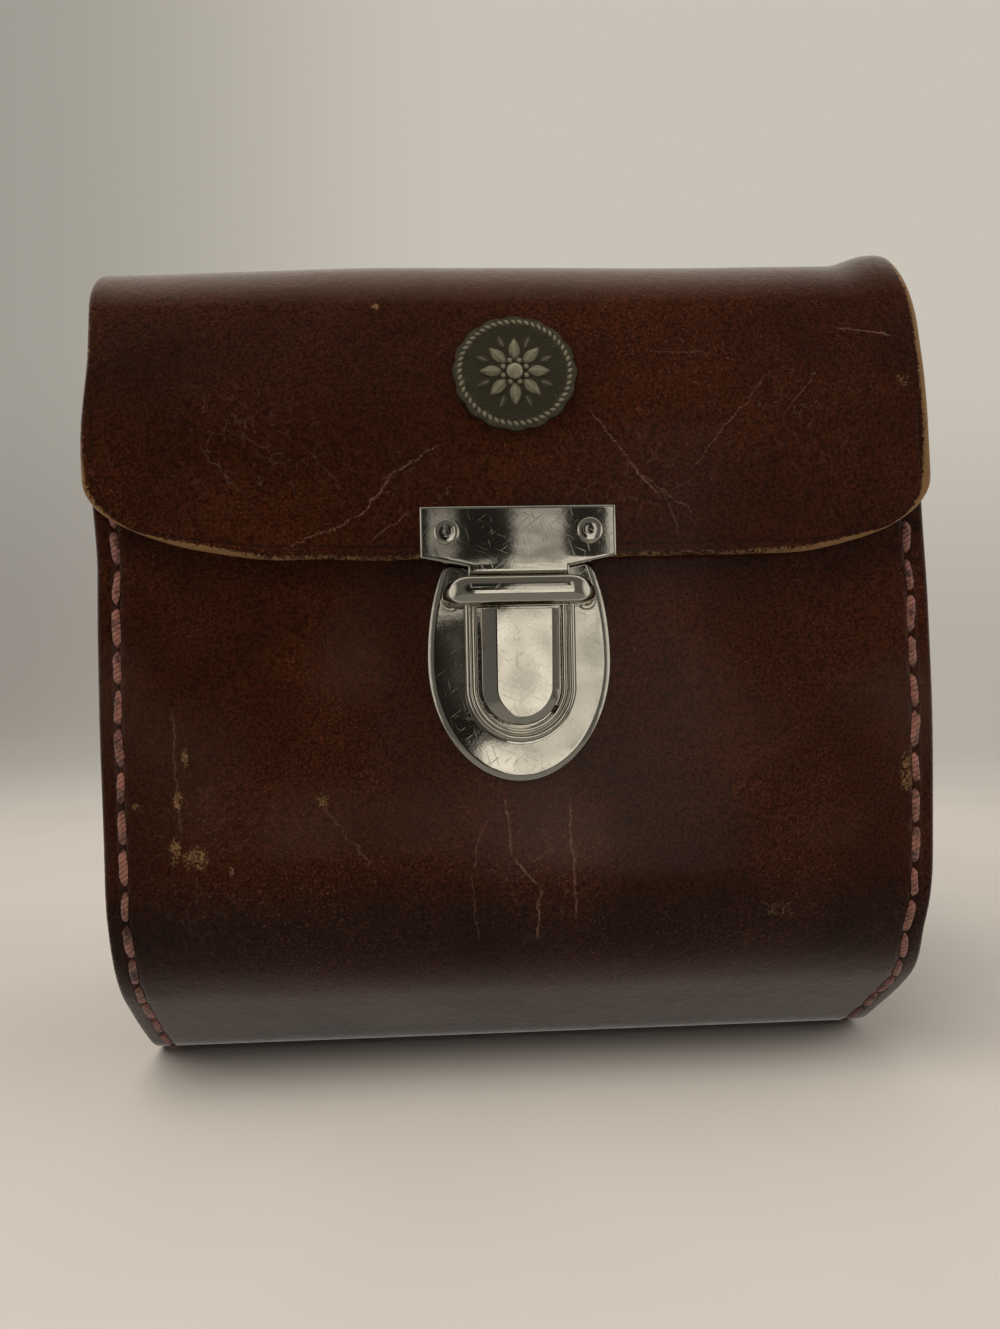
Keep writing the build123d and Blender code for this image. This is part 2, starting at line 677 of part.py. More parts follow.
def make_badge_keeper():
    """Small plate let into the inside of the lid, over the badge's prongs."""
    keeper = plate_on_lid(leather - peen_height - washer_sheet, leather - peen_height,
                          Pos(0, badge_height) * Rectangle(*keeper_size))
    for x in (-prong_spread / 2, prong_spread / 2):
        keeper -= disc(on_front(0), x, badge_height, -EVERYWHERE / 16, EVERYWHERE / 8, prong_radius)
    return keeper


gusset = make_gusset()
seam = make_seam_thread()
gusset_cloth = make_gusset_lining()
hasp_places = [(x, hasp_rivet_level) for x in hasp_rivets_x]
hasp_rivet_solids = [rivet(on_front(0), x, z, flap_out + hasp_sheet, flap_gap + peen_height,
                           hasp_rivet_head, hasp_rivet_dome, hasp_rivet_shank)
                     for x, z in hasp_places]

nodes = {
    "body_wrap": make_body_wrap(),
    "right_gusset": gusset,
    "left_gusset": mirrored(gusset),
    "right_seam_thread": seam,
    "left_seam_thread": mirrored(seam),
    "body_lining": make_body_lining(),
    "right_gusset_lining": gusset_cloth,
    "left_gusset_lining": mirrored(gusset_cloth),
    "base_plate": make_base_plate(),
    "staple": make_staple(),
    "latch_backing_plate": make_backing_plate(),
    "belt_loop": make_belt_loop(),
    "belt_loop_rivets": make_loop_rivets(),
    "belt_loop_washers": washers(on_back(-leather), loop_rivet_places, peen_height,
                                 loop_washer_radius, loop_rivet_shank),
    "lid_flap": make_lid_flap(),
    "lid_lining": make_lid_lining(),
    "hasp_plate": make_hasp_plate(),
    "hasp_rivets": Compound(children=[solid for one in hasp_rivet_solids for solid in one.solids()]),
    "hasp_washers": washers(on_front(flap_gap), hasp_places, peen_height,
                            hasp_washer_radius, hasp_rivet_shank),
    "tongue_back_sheet": make_tongue_back(),
    "thumb_catch": make_thumb_catch(),
    "catch_pivot_pin": pin_rod(pin_radius),
    "catch_spring": make_catch_spring(),
    "badge": make_badge(),
    "badge_keeper": make_badge_keeper(),
}

os.makedirs("parts", exist_ok=True)
for name, shape in nodes.items():
    export_step(shape, f"parts/{name}.step")
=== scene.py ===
"""Leather hard case for a prism binocular: the finished look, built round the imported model."""

import logging
import math
from dataclasses import dataclass, field
from enum import Enum
from typing import Any, Callable, Iterable

import bpy
from bpy.types import Material, Node, NodeSocket, NodeTree, Object
from mathutils import Matrix, Vector, noise

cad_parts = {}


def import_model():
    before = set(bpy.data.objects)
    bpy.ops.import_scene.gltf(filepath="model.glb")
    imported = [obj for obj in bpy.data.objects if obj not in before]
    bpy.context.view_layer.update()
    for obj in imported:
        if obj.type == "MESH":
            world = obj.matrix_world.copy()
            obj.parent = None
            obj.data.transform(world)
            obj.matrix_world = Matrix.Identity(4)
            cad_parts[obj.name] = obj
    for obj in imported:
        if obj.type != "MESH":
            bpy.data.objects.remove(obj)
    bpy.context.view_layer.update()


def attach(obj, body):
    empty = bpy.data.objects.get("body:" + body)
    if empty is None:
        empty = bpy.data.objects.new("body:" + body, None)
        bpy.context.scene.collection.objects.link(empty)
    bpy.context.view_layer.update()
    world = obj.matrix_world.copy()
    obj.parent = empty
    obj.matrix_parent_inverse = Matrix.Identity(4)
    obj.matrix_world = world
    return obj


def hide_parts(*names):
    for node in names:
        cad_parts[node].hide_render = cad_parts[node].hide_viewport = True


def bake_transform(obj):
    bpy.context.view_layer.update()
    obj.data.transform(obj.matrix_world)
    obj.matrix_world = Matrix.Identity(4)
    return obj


LOG = logging.getLogger("case")
MM = 0.001
UP = Vector((0, 0, 1))
OUT = Vector((0, -1, 0))
ALONG_X = (1, 0, 0)
ALONG_Y = (0, 1, 0)


# ---------------------------------------------------------------- the bench: modelling by hand

class Pick(Enum):
    """What an edit-mode selection takes."""

    POINTS = "VERT"
    EDGES = "EDGE"
    FACES = "FACE"


def deselect() -> None:
    """Leave nothing selected, so that an operator acts only on the new work."""
    if bpy.context.object and bpy.context.object.mode != "OBJECT":
        bpy.ops.object.mode_set(mode="OBJECT")
    bpy.ops.object.select_all(action="DESELECT")


def take(piece: Object) -> None:
    """Make one piece the only selected and active one."""
    deselect()
    piece.select_set(True)
    bpy.context.view_layer.objects.active = piece


def named(name: str) -> Object:
    """Name the primitive just added and return it.

    Args:
        name: the name for the object and its mesh.

    Returns:
        The primitive.
    """
    piece = bpy.context.object
    piece.name = name
    piece.data.name = name
    return piece


def settle(piece: Object) -> None:
    """Put the piece's place and size into its mesh, with its object at the origin."""
    take(piece)
    bpy.ops.object.transform_apply(location=True, rotation=True, scale=True)


def choose(piece: Object, pick: Pick, test: Callable[[Vector, Vector], bool]) -> None:
    """Enter edit mode with the parts of the piece selected that pass a test.

    Args:
        piece: the piece to edit.
        pick: points, edges or faces.
        test: takes the middle of a part and its normal (none for an edge).
    """
    take(piece)
    bpy.ops.object.mode_set(mode="EDIT")
    bpy.ops.mesh.select_mode(type=pick.value)
    bpy.ops.mesh.select_all(action="DESELECT")
    bpy.ops.object.mode_set(mode="OBJECT")
    mesh = piece.data
    if pick is Pick.POINTS:
        for point in mesh.vertices:
            point.select = test(point.co, point.normal)
    elif pick is Pick.FACES:
        for face in mesh.polygons:
            face.select = test(face.center, face.normal)
    else:
        for edge in mesh.edges:
            first, second = (mesh.vertices[index].co for index in edge.vertices)
            edge.select = test((first + second) / 2, second - first)
    bpy.ops.object.mode_set(mode="EDIT")


def done(piece: Object, outward: bool = True) -> Object:
    """Leave edit mode with doubles merged and, where asked, every face turned outwards.

    Args:
        piece: the piece, in edit mode or not.
        outward: turn every face outwards.

    Returns:
        The piece.
    """
    take(piece)
    bpy.ops.object.mode_set(mode="EDIT")
    bpy.ops.mesh.select_all(action="SELECT")
    bpy.ops.mesh.remove_doubles(threshold=0.01 * MM)
    if outward:
        bpy.ops.mesh.normals_make_consistent(inside=False)
    bpy.ops.object.mode_set(mode="OBJECT")
    return piece


def cut(piece: Object, axis: tuple[int, int, int], places: Iterable[float],
        **settings: Any) -> None:
    """Cut straight through a piece, which is left in edit mode.

    Args:
        piece: the piece.
        axis: the direction that the cuts are square to.
        places: where the cuts lie along it, in millimetres.
        settings: what else the cut does, such as clear one side.
    """
    take(piece)
    bpy.ops.object.mode_set(mode="EDIT")
    for place in places:
        bpy.ops.mesh.select_all(action="SELECT")
        bpy.ops.mesh.bisect(plane_co=[place * MM * part for part in axis], plane_no=axis,
                            **settings)


def modify(piece: Object, kind: str, **settings: Any) -> None:
    """Add a modifier with its settings and apply it.

    Args:
        piece: the piece.
        kind: the modifier's type.
        settings: the modifier's settings.
    """
    take(piece)
    modifier = piece.modifiers.new(kind.lower(), kind)
    for key, value in settings.items():
        setattr(modifier, key, value)
    bpy.ops.object.modifier_apply(modifier=modifier.name)


def reshape(piece: Object, rule: Callable[[Vector, Vector], Vector]) -> None:
    """Move every point of the piece by a rule that takes its place and normal.

    Args:
        piece: the piece.
        rule: gives the new place from a place and its normal.
    """
    mesh = piece.data
    moved = [rule(point.co.copy(), point.normal.copy()) for point in mesh.vertices]
    for point, place in zip(mesh.vertices, moved):
        point.co = place
    mesh.update()


def smooth(piece: Object, degrees: float = 35.0) -> None:
    """Shade a piece smooth, apart from edges sharper than an angle."""
    take(piece)
    bpy.ops.object.shade_smooth_by_angle(angle=math.radians(degrees))


def polished(piece: Object, degrees: float) -> None:
    """Shade a metal piece smooth with its large flats true, as a polished face is."""
    smooth(piece, degrees)
    modify(piece, "WEIGHTED_NORMAL", keep_sharp=True)


def joined(name: str, pieces: list[Object]) -> Object:
    """Join several pieces into one and name it.

    Args:
        name: the whole's name.
        pieces: the pieces, which it takes up.

    Returns:
        The whole.
    """
    take(pieces[0])
    for piece in pieces[1:]:
        piece.select_set(True)
    bpy.ops.object.join()
    return named(name)


def copied(piece: Object, name: str, move: Matrix) -> Object:
    """A copy of a piece with its own mesh, moved by a matrix.

    Args:
        piece: the piece to copy.
        name: the copy's name.
        move: the matrix put into the copy's mesh.

    Returns:
        The copy.
    """
    twin = piece.copy()
    twin.data = piece.data.copy()
    twin.name = name
    bpy.context.scene.collection.objects.link(twin)
    twin.data.transform(move)
    if move.determinant() < 0:
        twin.data.flip_normals()
    return twin


def taken_from(node: str, name: str) -> Object:
    """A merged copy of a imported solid, free of the frame, to be worked on by hand.

    Args:
        node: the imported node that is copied.
        name: the new piece's name.

    Returns:
        The copy, with its flats in one face each.
    """
    source = bpy.data.objects[node]
    piece = bpy.data.objects.new(name, source.data.copy())
    bpy.context.scene.collection.objects.link(piece)
    piece.data.name = name
    piece.data.materials.clear()
    take(piece)
    bpy.ops.mesh.customdata_custom_splitnormals_clear()
    done(piece)
    bpy.ops.object.mode_set(mode="EDIT")
    bpy.ops.mesh.select_all(action="SELECT")
    bpy.ops.mesh.dissolve_limited(angle_limit=math.radians(1.0))
    bpy.ops.object.mode_set(mode="OBJECT")
    return piece


def resurfaced(node: str, name: str, square: float, passes: int) -> Object:
    """A copy of a soft solid as an even skin that can be softened and dented.

    Args:
        node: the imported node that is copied.
        name: the new piece's name.
        square: edge of the skin's squares, in metres.
        passes: number of smoothing passes.

    Returns:
        The copy.
    """
    piece = taken_from(node, name)
    modify(piece, "REMESH", mode="VOXEL", voxel_size=square, use_smooth_shade=True)
    modify(piece, "SMOOTH", factor=0.5, iterations=passes)
    return piece


def dress(piece: Object, materials: list[Material], slot: str, body: str, *nodes: str) -> Object:
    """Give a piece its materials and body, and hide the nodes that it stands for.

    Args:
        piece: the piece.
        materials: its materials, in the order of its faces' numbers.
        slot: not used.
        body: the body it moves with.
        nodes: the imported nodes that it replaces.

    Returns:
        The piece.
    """
    piece.data.materials.clear()
    for material in materials:
        piece.data.materials.append(material)
    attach(piece, body)
    if nodes:
        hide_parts(*nodes)
    LOG.info("%s rides on %s", piece.name, body)
    return piece


# ---------------------------------------------------------------- finishes

def linear(code: str) -> tuple[float, float, float, float]:
    """An sRGB hex colour as the linear values that a shader takes."""
    parts = [int(code[place:place + 2], 16) / 255 for place in (1, 3, 5)]
    return (*[p / 12.92 if p <= 0.04045 else ((p + 0.055) / 1.055) ** 2.4 for p in parts], 1.0)


# Settings that many nodes share: a soft ramp, clamped arithmetic, and a mix of two colours.
SOFT = {"interpolation_type": "SMOOTHSTEP"}
TIMES = {"operation": "MULTIPLY", "use_clamp": True}
MOST = {"operation": "MAXIMUM", "use_clamp": True}
PLUS = {"operation": "ADD", "use_clamp": True}
COLOUR = {"data_type": "RGBA"}


def fill(tree: NodeTree, sockets: Iterable[Any], feeds: Iterable[Any]) -> None:
    """Set inputs to values, or link them.

    Args:
        tree: the node tree that they belong to.
        sockets: the inputs.
        feeds: for each input a value, a socket, or a node whose first output in use is taken.
    """
    for socket, source in zip(sockets, feeds):
        if isinstance(source, Node):
            source = next(output for output in source.outputs if output.enabled)
        if isinstance(source, NodeSocket):
            tree.links.new(source, socket)
        else:
            socket.default_value = source


def add(tree: NodeTree, kind: str, *feeds: Any, **settings: Any) -> Node:
    """Add one node with its settings and links.

    Args:
        tree: the node tree that it joins.
        kind: the node's type, without "ShaderNode" before it.
        feeds: what goes into the inputs in use, in their order.
        settings: the node's own settings, in small letters, and inputs by name, with a capital
            and "_" for a space.

    Returns:
        The new node.
    """
    node = tree.nodes.new(f"ShaderNode{kind}")
    inputs = {key: settings.pop(key) for key in list(settings) if key[0].isupper()}
    for key, value in settings.items():
        setattr(node, key, value)
    fill(tree, [socket for socket in node.inputs if socket.enabled], feeds)
    fill(tree, [node.inputs[key.replace("_", " ")] for key in inputs], inputs.values())
    return node


def strongest(tree: NodeTree, masks: Iterable[Node]) -> Any:
    """Take the greatest of several masks at each point.

    Args:
        tree: the material's node tree.
        masks: the masks, which may be none.

    Returns:
        A node that gives the greatest, or 0.
    """
    most: Any = 0.0
    for mask in masks:
        most = add(tree, "Math", most, mask, **MOST)
    return most


def per(size_mm: float) -> float:
    """Texture scale at which a pattern repeats about once in a length."""
    return 1.0 / (size_mm * MM)


def blank(name: str) -> tuple[Material, NodeTree, NodeSocket]:
    """A new material with nothing in it but the place of each point on the object.

    Args:
        name: the material's name.

    Returns:
        The material, its node tree and the socket that gives the place.
    """
    material = bpy.data.materials.new(name)
    material.use_nodes = True
    tree = material.node_tree
    tree.nodes.clear()
    return material, tree, add(tree, "TexCoord").outputs["Object"]


@dataclass(frozen=True)
class Crease:
    """A crack or fold line on the front, drawn from one place to another in millimetres."""

    x0: float
    z0: float
    x1: float
    z1: float
    width: float
    depth: float
    wander: float = 1.6

    def mask(self, tree: NodeTree, place: NodeSocket, shift: Node) -> Node:
        """Strength of the line at each point, seen from the front.

        Args:
            tree: the material's node tree.
            place: where each point is.
            shift: the pattern that makes the line wander.

        Returns:
            A node that gives the strength, from 0 to 1.
        """
        reach = (self.wander * 3 * MM,) * 3
        bent = add(tree, "VectorMath", shift, reach, place, operation="MULTIPLY_ADD")
        middle = Vector(((self.x0 + self.x1) / 2 * MM, 0, (self.z0 + self.z1) / 2 * MM))
        run = Vector(((self.x1 - self.x0) * MM, 0, (self.z1 - self.z0) * MM))
        turn = math.atan2(run.z, run.x)
        local = add(tree, "Mapping", Vector=bent, Location=middle, Rotation=(0, -turn, 0),
                    Scale=(run.length, 1, self.width * MM), vector_type="TEXTURE")
        x, _, z = add(tree, "SeparateXYZ", local).outputs
        across = add(tree, "Math", z, operation="ABSOLUTE")
        along = add(tree, "Math", x, operation="ABSOLUTE")
        line = add(tree, "MapRange", across, 0.2, 1.0, self.depth, 0.0, **SOFT)
        ends = add(tree, "MapRange", along, 0.3, 0.5, 1.0, 0.0, **SOFT)
        return add(tree, "Math", line, ends, **TIMES)


@dataclass(frozen=True)
class Scuff:
    """A rubbed place: its middle, its two radii and how much of it is worn through."""

    x: float
    z: float
    half_width: float
    half_height: float
    amount: float

    def mask(self, tree: NodeTree, place: NodeSocket) -> Node:
        """Strength of the rubbing at each point, seen from the front.

        Args:
            tree: the material's node tree.
            place: where each point is.

        Returns:
            A node that gives the strength, from 0 to 1.
        """
        local = add(tree, "Mapping", Vector=place, Location=(self.x * MM, 0, self.z * MM),
                    Scale=(self.half_width * MM, 1, self.half_height * MM), vector_type="TEXTURE")
        x, _, z = add(tree, "SeparateXYZ", local).outputs
        away = add(tree, "VectorMath", add(tree, "CombineXYZ", x, z), operation="LENGTH")
        return add(tree, "MapRange", away, 0.2, 1.0, self.amount, 0.0, **SOFT)


@dataclass(frozen=True)
class VegTanLeather:
    """Vegetable-tanned cowhide, dyed dark reddish brown and waxed: a deep colour under a
    broken satin shine, paler where the dye has rubbed through. Pores and freckles are drawn
    coarser than real ones, so that they show."""

    name: str
    dark: str = "#301406"
    red: str = "#3c1908"
    # colour of the painted sheen: mixed in as painted highlight and reflection where the stored
    # attribute is above nought
    bloom_and_painted_sheen: str = "#5a4639"
    tan: str = "#80613f"
    freckle: str = "#74462f"
    cracked: str = "#80604c"
    pore_mm: float = 0.55
    crinkle_mm: float = 3.2
    patch_mm: float = 26.0
    wander_mm: float = 5.0
    net_mm: float = 3.0
    flake_mm: float = 1.1
    freckle_mm: float = 0.42
    border_mm: float = 2.0
    groove: str = "#160a05"
    creases: tuple[Crease, ...] = ()
    scuffs: tuple[Scuff, ...] = ()
    crazed: tuple[Scuff, ...] = ()

    def make(self) -> Material:
        """Build the material.

        Returns:
            The material.
        """
        material, tree, place = blank(self.name)
        # the hide's patterns, from the largest to the smallest
        patches = add(tree, "TexNoise", Vector=place, Scale=per(self.patch_mm), Detail=4.0,
                      Roughness=0.6)
        pores = add(tree, "TexNoise", Vector=place, Scale=per(self.pore_mm), Detail=3.0,
                    Roughness=0.65)
        cells = add(tree, "TexVoronoi", Vector=place, Scale=per(self.pore_mm * 2.2),
                    feature="DISTANCE_TO_EDGE")
        warped = add(tree, "TexNoise", Vector=place, Scale=per(self.crinkle_mm), Detail=5.0,
                     Roughness=0.55, Distortion=1.2)
        wander = add(tree, "TexNoise", Vector=place, Scale=per(self.wander_mm), Detail=6.0,
                     Roughness=0.8)
        shift = add(tree, "VectorMath", wander.outputs["Color"], (0.5, 0.5, 0.5),
                    operation="SUBTRACT")
        freckles = add(tree, "TexNoise", Vector=place, Scale=per(self.freckle_mm), Detail=2.0)
        # cracks along the folds, and a net of fine ones in the crazed places
        lines = strongest(tree, (crease.mask(tree, place, shift) for crease in self.creases))
        rubbed = strongest(tree, (scuff.mask(tree, place) for scuff in self.scuffs))
        crazed = strongest(tree, (patch.mask(tree, place) for patch in self.crazed))
        skewed = add(tree, "VectorMath", shift, (4 * MM,) * 3, place, operation="MULTIPLY_ADD")
        net = add(tree, "TexVoronoi", Vector=skewed, Scale=per(self.net_mm),
                  feature="DISTANCE_TO_EDGE")
        netting = add(tree, "MapRange", net, 0.0, 0.04, 1.0, 0.0, **SOFT)
        netting = add(tree, "Math", netting, crazed, **TIMES)
        netting = add(tree, "Math", netting,
                      add(tree, "MapRange", warped, 0.46, 0.6, 0.0, 0.5, **SOFT), **TIMES)
        lines = add(tree, "Math", lines, netting, **MOST)
        flakes = add(tree, "TexNoise", Vector=place, Scale=per(self.flake_mm), Detail=6.0,
                     Roughness=0.8, Distortion=1.6)
        # where the dye is rubbed through
        edge = add(tree, "Attribute", attribute_name="wear").outputs["Fac"]
        rubbing = add(tree, "Math", rubbed, edge, **MOST)
        limit = add(tree, "Math", 0.86, rubbing, operation="SUBTRACT")
        bare_start = add(tree, "Math", flakes, limit, operation="SUBTRACT")
        bare = add(tree, "MapRange", bare_start, -0.02, 0.06, **SOFT)
        # the dye, mottled and specked by the pores; then painted shade and painted sheen from a
        # stored attribute
        mottle = add(tree, "MapRange", patches, 0.3, 0.7, **SOFT)
        tone = add(tree, "Mix", mottle, linear(self.dark), linear(self.red), **COLOUR)
        specks = add(tree, "MapRange", pores, 0.37, 0.61, 0.5, 1.32, **SOFT)
        tone = add(tree, "VectorMath", tone, specks, operation="MULTIPLY")
        # painted shade where the stored attribute is below nought: the colour is multiplied darker
        haze = add(tree, "Attribute", attribute_name="haze").outputs["Fac"]
        painted_shade = add(tree, "MapRange", haze, -1.0, 0.0, 0.45, 1.0, **SOFT)
        tone = add(tree, "VectorMath", tone, painted_shade, operation="MULTIPLY")
        # painted sheen where the stored attribute is above nought: the colour is mixed toward the
        # grey-brown sheen colour, broken by the crinkles
        painted_sheen = add(tree, "Math", haze,
                     add(tree, "MapRange", warped, 0.2, 0.7, 0.75, 1.0, **SOFT), **TIMES)
        tone = add(tree, "Mix", painted_sheen, tone, linear(self.bloom_and_painted_sheen), **COLOUR)
        # a line creased beside the cut edge
        gap = add(tree, "Attribute", attribute_name="gap").outputs["Fac"]
        beside = add(tree, "Math", gap, self.border_mm, operation="SUBTRACT")
        beside = add(tree, "Math", beside, operation="ABSOLUTE")
        border = add(tree, "MapRange", beside, 0.12, 0.42, 0.7, 0.0, **SOFT)
        tone = add(tree, "Mix", add(tree, "Math", border, 0.6, **TIMES), tone, linear(self.groove),
                   **COLOUR)
        # rusty freckles, pale cracks and bare hide over it all
        line_tone = add(tree, "Math", lines,
                        add(tree, "MapRange", flakes, 0.38, 0.56, 0.12, 0.85, **SOFT), **TIMES)
        rusty = add(tree, "Math", add(tree, "MapRange", freckles, 0.58, 0.7, 0.0, 0.6, **SOFT),
                    add(tree, "MapRange", patches, 0.42, 0.62, 0.1, 0.8, **SOFT), **TIMES)
        tone = add(tree, "Mix", rusty, tone, linear(self.freckle), **COLOUR)
        tone = add(tree, "Mix", line_tone, tone, linear(self.cracked), **COLOUR)
        tone = add(tree, "Mix", bare, tone, linear(self.tan), **COLOUR)
        # shine and relief
        rough = add(tree, "MapRange", warped, 0.3, 0.75, 0.36, 0.5, **SOFT)
        rough = add(tree, "Math", rough, add(tree, "Math", bare, 0.3, **TIMES), **PLUS)
        crinkle = add(tree, "MapRange", warped, 0.35, 0.65, **SOFT)
        grain = add(tree, "MapRange", cells, 0.0, 0.12, **SOFT)
        height = add(tree, "Math", grain, 0.25, crinkle, operation="MULTIPLY_ADD")
        height = add(tree, "Math", pores, 0.35, height, operation="MULTIPLY_ADD")
        fine = add(tree, "Bump", Height=height, Strength=0.8, Distance=0.08 * MM)
        sunk = add(tree, "Math", lines, border, **MOST)
        sunk = add(tree, "Math", sunk, add(tree, "Math", bare, 0.5, **TIMES), **MOST)
        cuts = add(tree, "Bump", Height=sunk, Strength=0.8, Distance=0.16 * MM, Normal=fine,
                   invert=True)
        shader = add(tree, "BsdfPrincipled", Base_Color=tone, Roughness=rough, Normal=cuts,
                     Specular_IOR_Level=0.08, Coat_Weight=0.6, Coat_Roughness=0.24, Coat_IOR=1.33)
        add(tree, "OutputMaterial", Surface=shader)
        return material


@dataclass(frozen=True)
class CutEdge:
    """Cut edge of the same hide, undyed and rubbed: fibrous, matt and golden tan, darker in
    streaks where polish and dirt have soaked in. The fibres are drawn coarse enough to show."""

    name: str = "cut_leather_edge"
    tan: str = "#84603a"
    dirt: str = "#3a2214"
    fibre_mm: float = 0.5
    stain_mm: float = 7.0

    def make(self) -> Material:
        """Build the material.

        Returns:
            The material.
        """
        material, tree, place = blank(self.name)
        stains = add(tree, "TexNoise", Vector=place, Scale=per(self.stain_mm), Detail=5.0,
                     Roughness=0.7)
        fibres = add(tree, "TexNoise", Vector=place, Scale=per(self.fibre_mm), Detail=3.0)
        dirty = add(tree, "MapRange", stains, 0.36, 0.56, **SOFT)
        tone = add(tree, "Mix", dirty, linear(self.tan), linear(self.dirt), **COLOUR)
        streak = add(tree, "MapRange", fibres, 0.3, 0.7, 0.7, 1.15, **SOFT)
        tone = add(tree, "VectorMath", tone, streak, operation="MULTIPLY")
        bump = add(tree, "Bump", Height=fibres, Strength=0.6, Distance=0.15 * MM)
        shader = add(tree, "BsdfPrincipled", Base_Color=tone, Roughness=0.8, Normal=bump)
        add(tree, "OutputMaterial", Surface=shader)
        return material


@dataclass(frozen=True)
class FleshSide:
    """Inner side of the hide, brushed to a short nap: soft, matt and mid brown. The nap is drawn
    coarse enough to show."""

    name: str = "leather_flesh_side"
    pale: str = "#7d5a3a"
    deep: str = "#5a3d26"
    cloud_mm: float = 14.0
    nap_mm: float = 0.7

    def make(self) -> Material:
        """Build the material.

        Returns:
            The material.
        """
        material, tree, place = blank(self.name)
        cloud = add(tree, "TexNoise", Vector=place, Scale=per(self.cloud_mm), Detail=5.0)
        nap = add(tree, "TexNoise", Vector=place, Scale=per(self.nap_mm), Detail=4.0)
        tone = add(tree, "Mix", add(tree, "MapRange", cloud, 0.35, 0.65, **SOFT),
                   linear(self.pale), linear(self.deep), **COLOUR)
        bump = add(tree, "Bump", Height=nap, Strength=0.5, Distance=0.2 * MM)
        shader = add(tree, "BsdfPrincipled", Base_Color=tone, Roughness=0.92, Normal=bump,
                     Sheen_Weight=0.25)
        add(tree, "OutputMaterial", Surface=shader)
        return material


@dataclass(frozen=True)
class NickelPlate:
    """Polished nickel plate on pressed brass: warm bright mirror, hazed by handling and cut by
    fine scratches that run every way, drawn coarser than real ones so that they show."""

    name: str = "polished_nickel_plate"
    clean: str = "#d8d2c4"
    hazed: str = "#a59a84"
    scratch_mm: float = 0.26
    haze_mm: float = 5.0

    def make(self) -> Material:
        """Build the material.

        Returns:
            The material.
        """
        material, tree, place = blank(self.name)
        haze = add(tree, "TexNoise", Vector=place, Scale=per(self.haze_mm), Detail=6.0,
                   Roughness=0.7, Distortion=0.6)
        scratches: Any = 0.0
        for turn in (0.4, 1.3, 2.5):
            drawn = add(tree, "Mapping", Vector=place, Rotation=(0.0, turn, 0.0),
                        Scale=(22.0, 1.0, 1.0), vector_type="TEXTURE")
            hair = add(tree, "TexNoise", Vector=drawn, Scale=per(self.scratch_mm), Detail=2.0)
            scratches = add(tree, "Math", scratches,
                            add(tree, "MapRange", hair, 0.66, 0.72, **SOFT), **MOST)
        clouded = add(tree, "MapRange", haze, 0.56, 0.8, **SOFT)
        tone = add(tree, "Mix", clouded, linear(self.clean), linear(self.hazed), **COLOUR)
        rough = add(tree, "MapRange", clouded, 0.0, 1.0, 0.07, 0.26, **SOFT)
        rough = add(tree, "Math", rough, add(tree, "Math", scratches, 0.1, **TIMES), **PLUS)
        dent = add(tree, "Bump", Height=haze, Strength=0.1, Distance=0.12 * MM)
        bump = add(tree, "Bump", Height=scratches, Strength=0.2, Distance=0.01 * MM, Normal=dent,
                   invert=True)
        shader = add(tree, "BsdfPrincipled", Base_Color=tone, Metallic=1.0, Roughness=rough,
                     Normal=bump)
        add(tree, "OutputMaterial", Surface=shader)
        return material


@dataclass(frozen=True)
class AgedPewter:
    """Cast white metal, dark with age: soft dull grey with olive dirt in the hollows and rubbed
    bright on what stands proud."""

    name: str = "aged_cast_pewter"
    hollow: str = "#3f3b2d"
    proud: str = "#9d9780"
    spot_mm: float = 1.3

    def make(self) -> Material:
        """Build the material.

        Returns:
            The material.
        """
        material, tree, place = blank(self.name)
        raised = add(tree, "Attribute", attribute_name="raised").outputs["Fac"]
        spots = add(tree, "TexNoise", Vector=place, Scale=per(self.spot_mm), Detail=5.0,
                    Roughness=0.7)
        lift = add(tree, "Math", spots, 0.5, raised, operation="MULTIPLY_ADD")
        shine = add(tree, "MapRange", lift, 0.45, 1.15, **SOFT)
        tone = add(tree, "Mix", shine, linear(self.hollow), linear(self.proud), **COLOUR)
        rough = add(tree, "MapRange", shine, 0.0, 1.0, 0.62, 0.36, **SOFT)
        bump = add(tree, "Bump", Height=spots, Strength=0.4, Distance=0.12 * MM)
        shader = add(tree, "BsdfPrincipled", Base_Color=tone, Metallic=0.55, Roughness=rough,
                     Normal=bump)
        add(tree, "OutputMaterial", Surface=shader)
        return material


@dataclass(frozen=True)
class WaxedThread:
    """Waxed linen thread, twisted from three strands: rose where it has faded, brown with dirt."""

    name: str = "waxed_linen_thread"
    rose: str = "#9a6557"
    dirt: str = "#3a2118"
    twist_mm: float = 1.1
    stain_mm: float = 4.0

    def make(self) -> Material:
        """Build the material.

        Returns:
            The material.
        """
        material, tree, place = blank(self.name)
        stains = add(tree, "TexNoise", Vector=place, Scale=per(self.stain_mm), Detail=6.0,
                     Roughness=0.8)
        turned = add(tree, "Mapping", Vector=place, Rotation=(0.0, 0.6, 0.0))
        strands = add(tree, "TexWave", Vector=turned,
                      Scale=per(self.twist_mm) / (2 * math.pi) * 3, Distortion=1.0,
                      bands_direction="Z").outputs["Fac"]
        tone = add(tree, "Mix", add(tree, "MapRange", stains, 0.44, 0.64, **SOFT),
                   linear(self.rose), linear(self.dirt), **COLOUR)
        # painted shade between the twisted strands and painted highlight on their crowns
        shade = add(tree, "MapRange", strands, 0.0, 1.0, 0.62, 1.1, **SOFT)
        tone = add(tree, "VectorMath", tone, shade, operation="MULTIPLY")
        bump = add(tree, "Bump", Height=strands, Strength=0.5, Distance=0.15 * MM)
        shader = add(tree, "BsdfPrincipled", Base_Color=tone, Roughness=0.6, Normal=bump,
                     Sheen_Weight=0.2)
        add(tree, "OutputMaterial", Surface=shader)
        return material


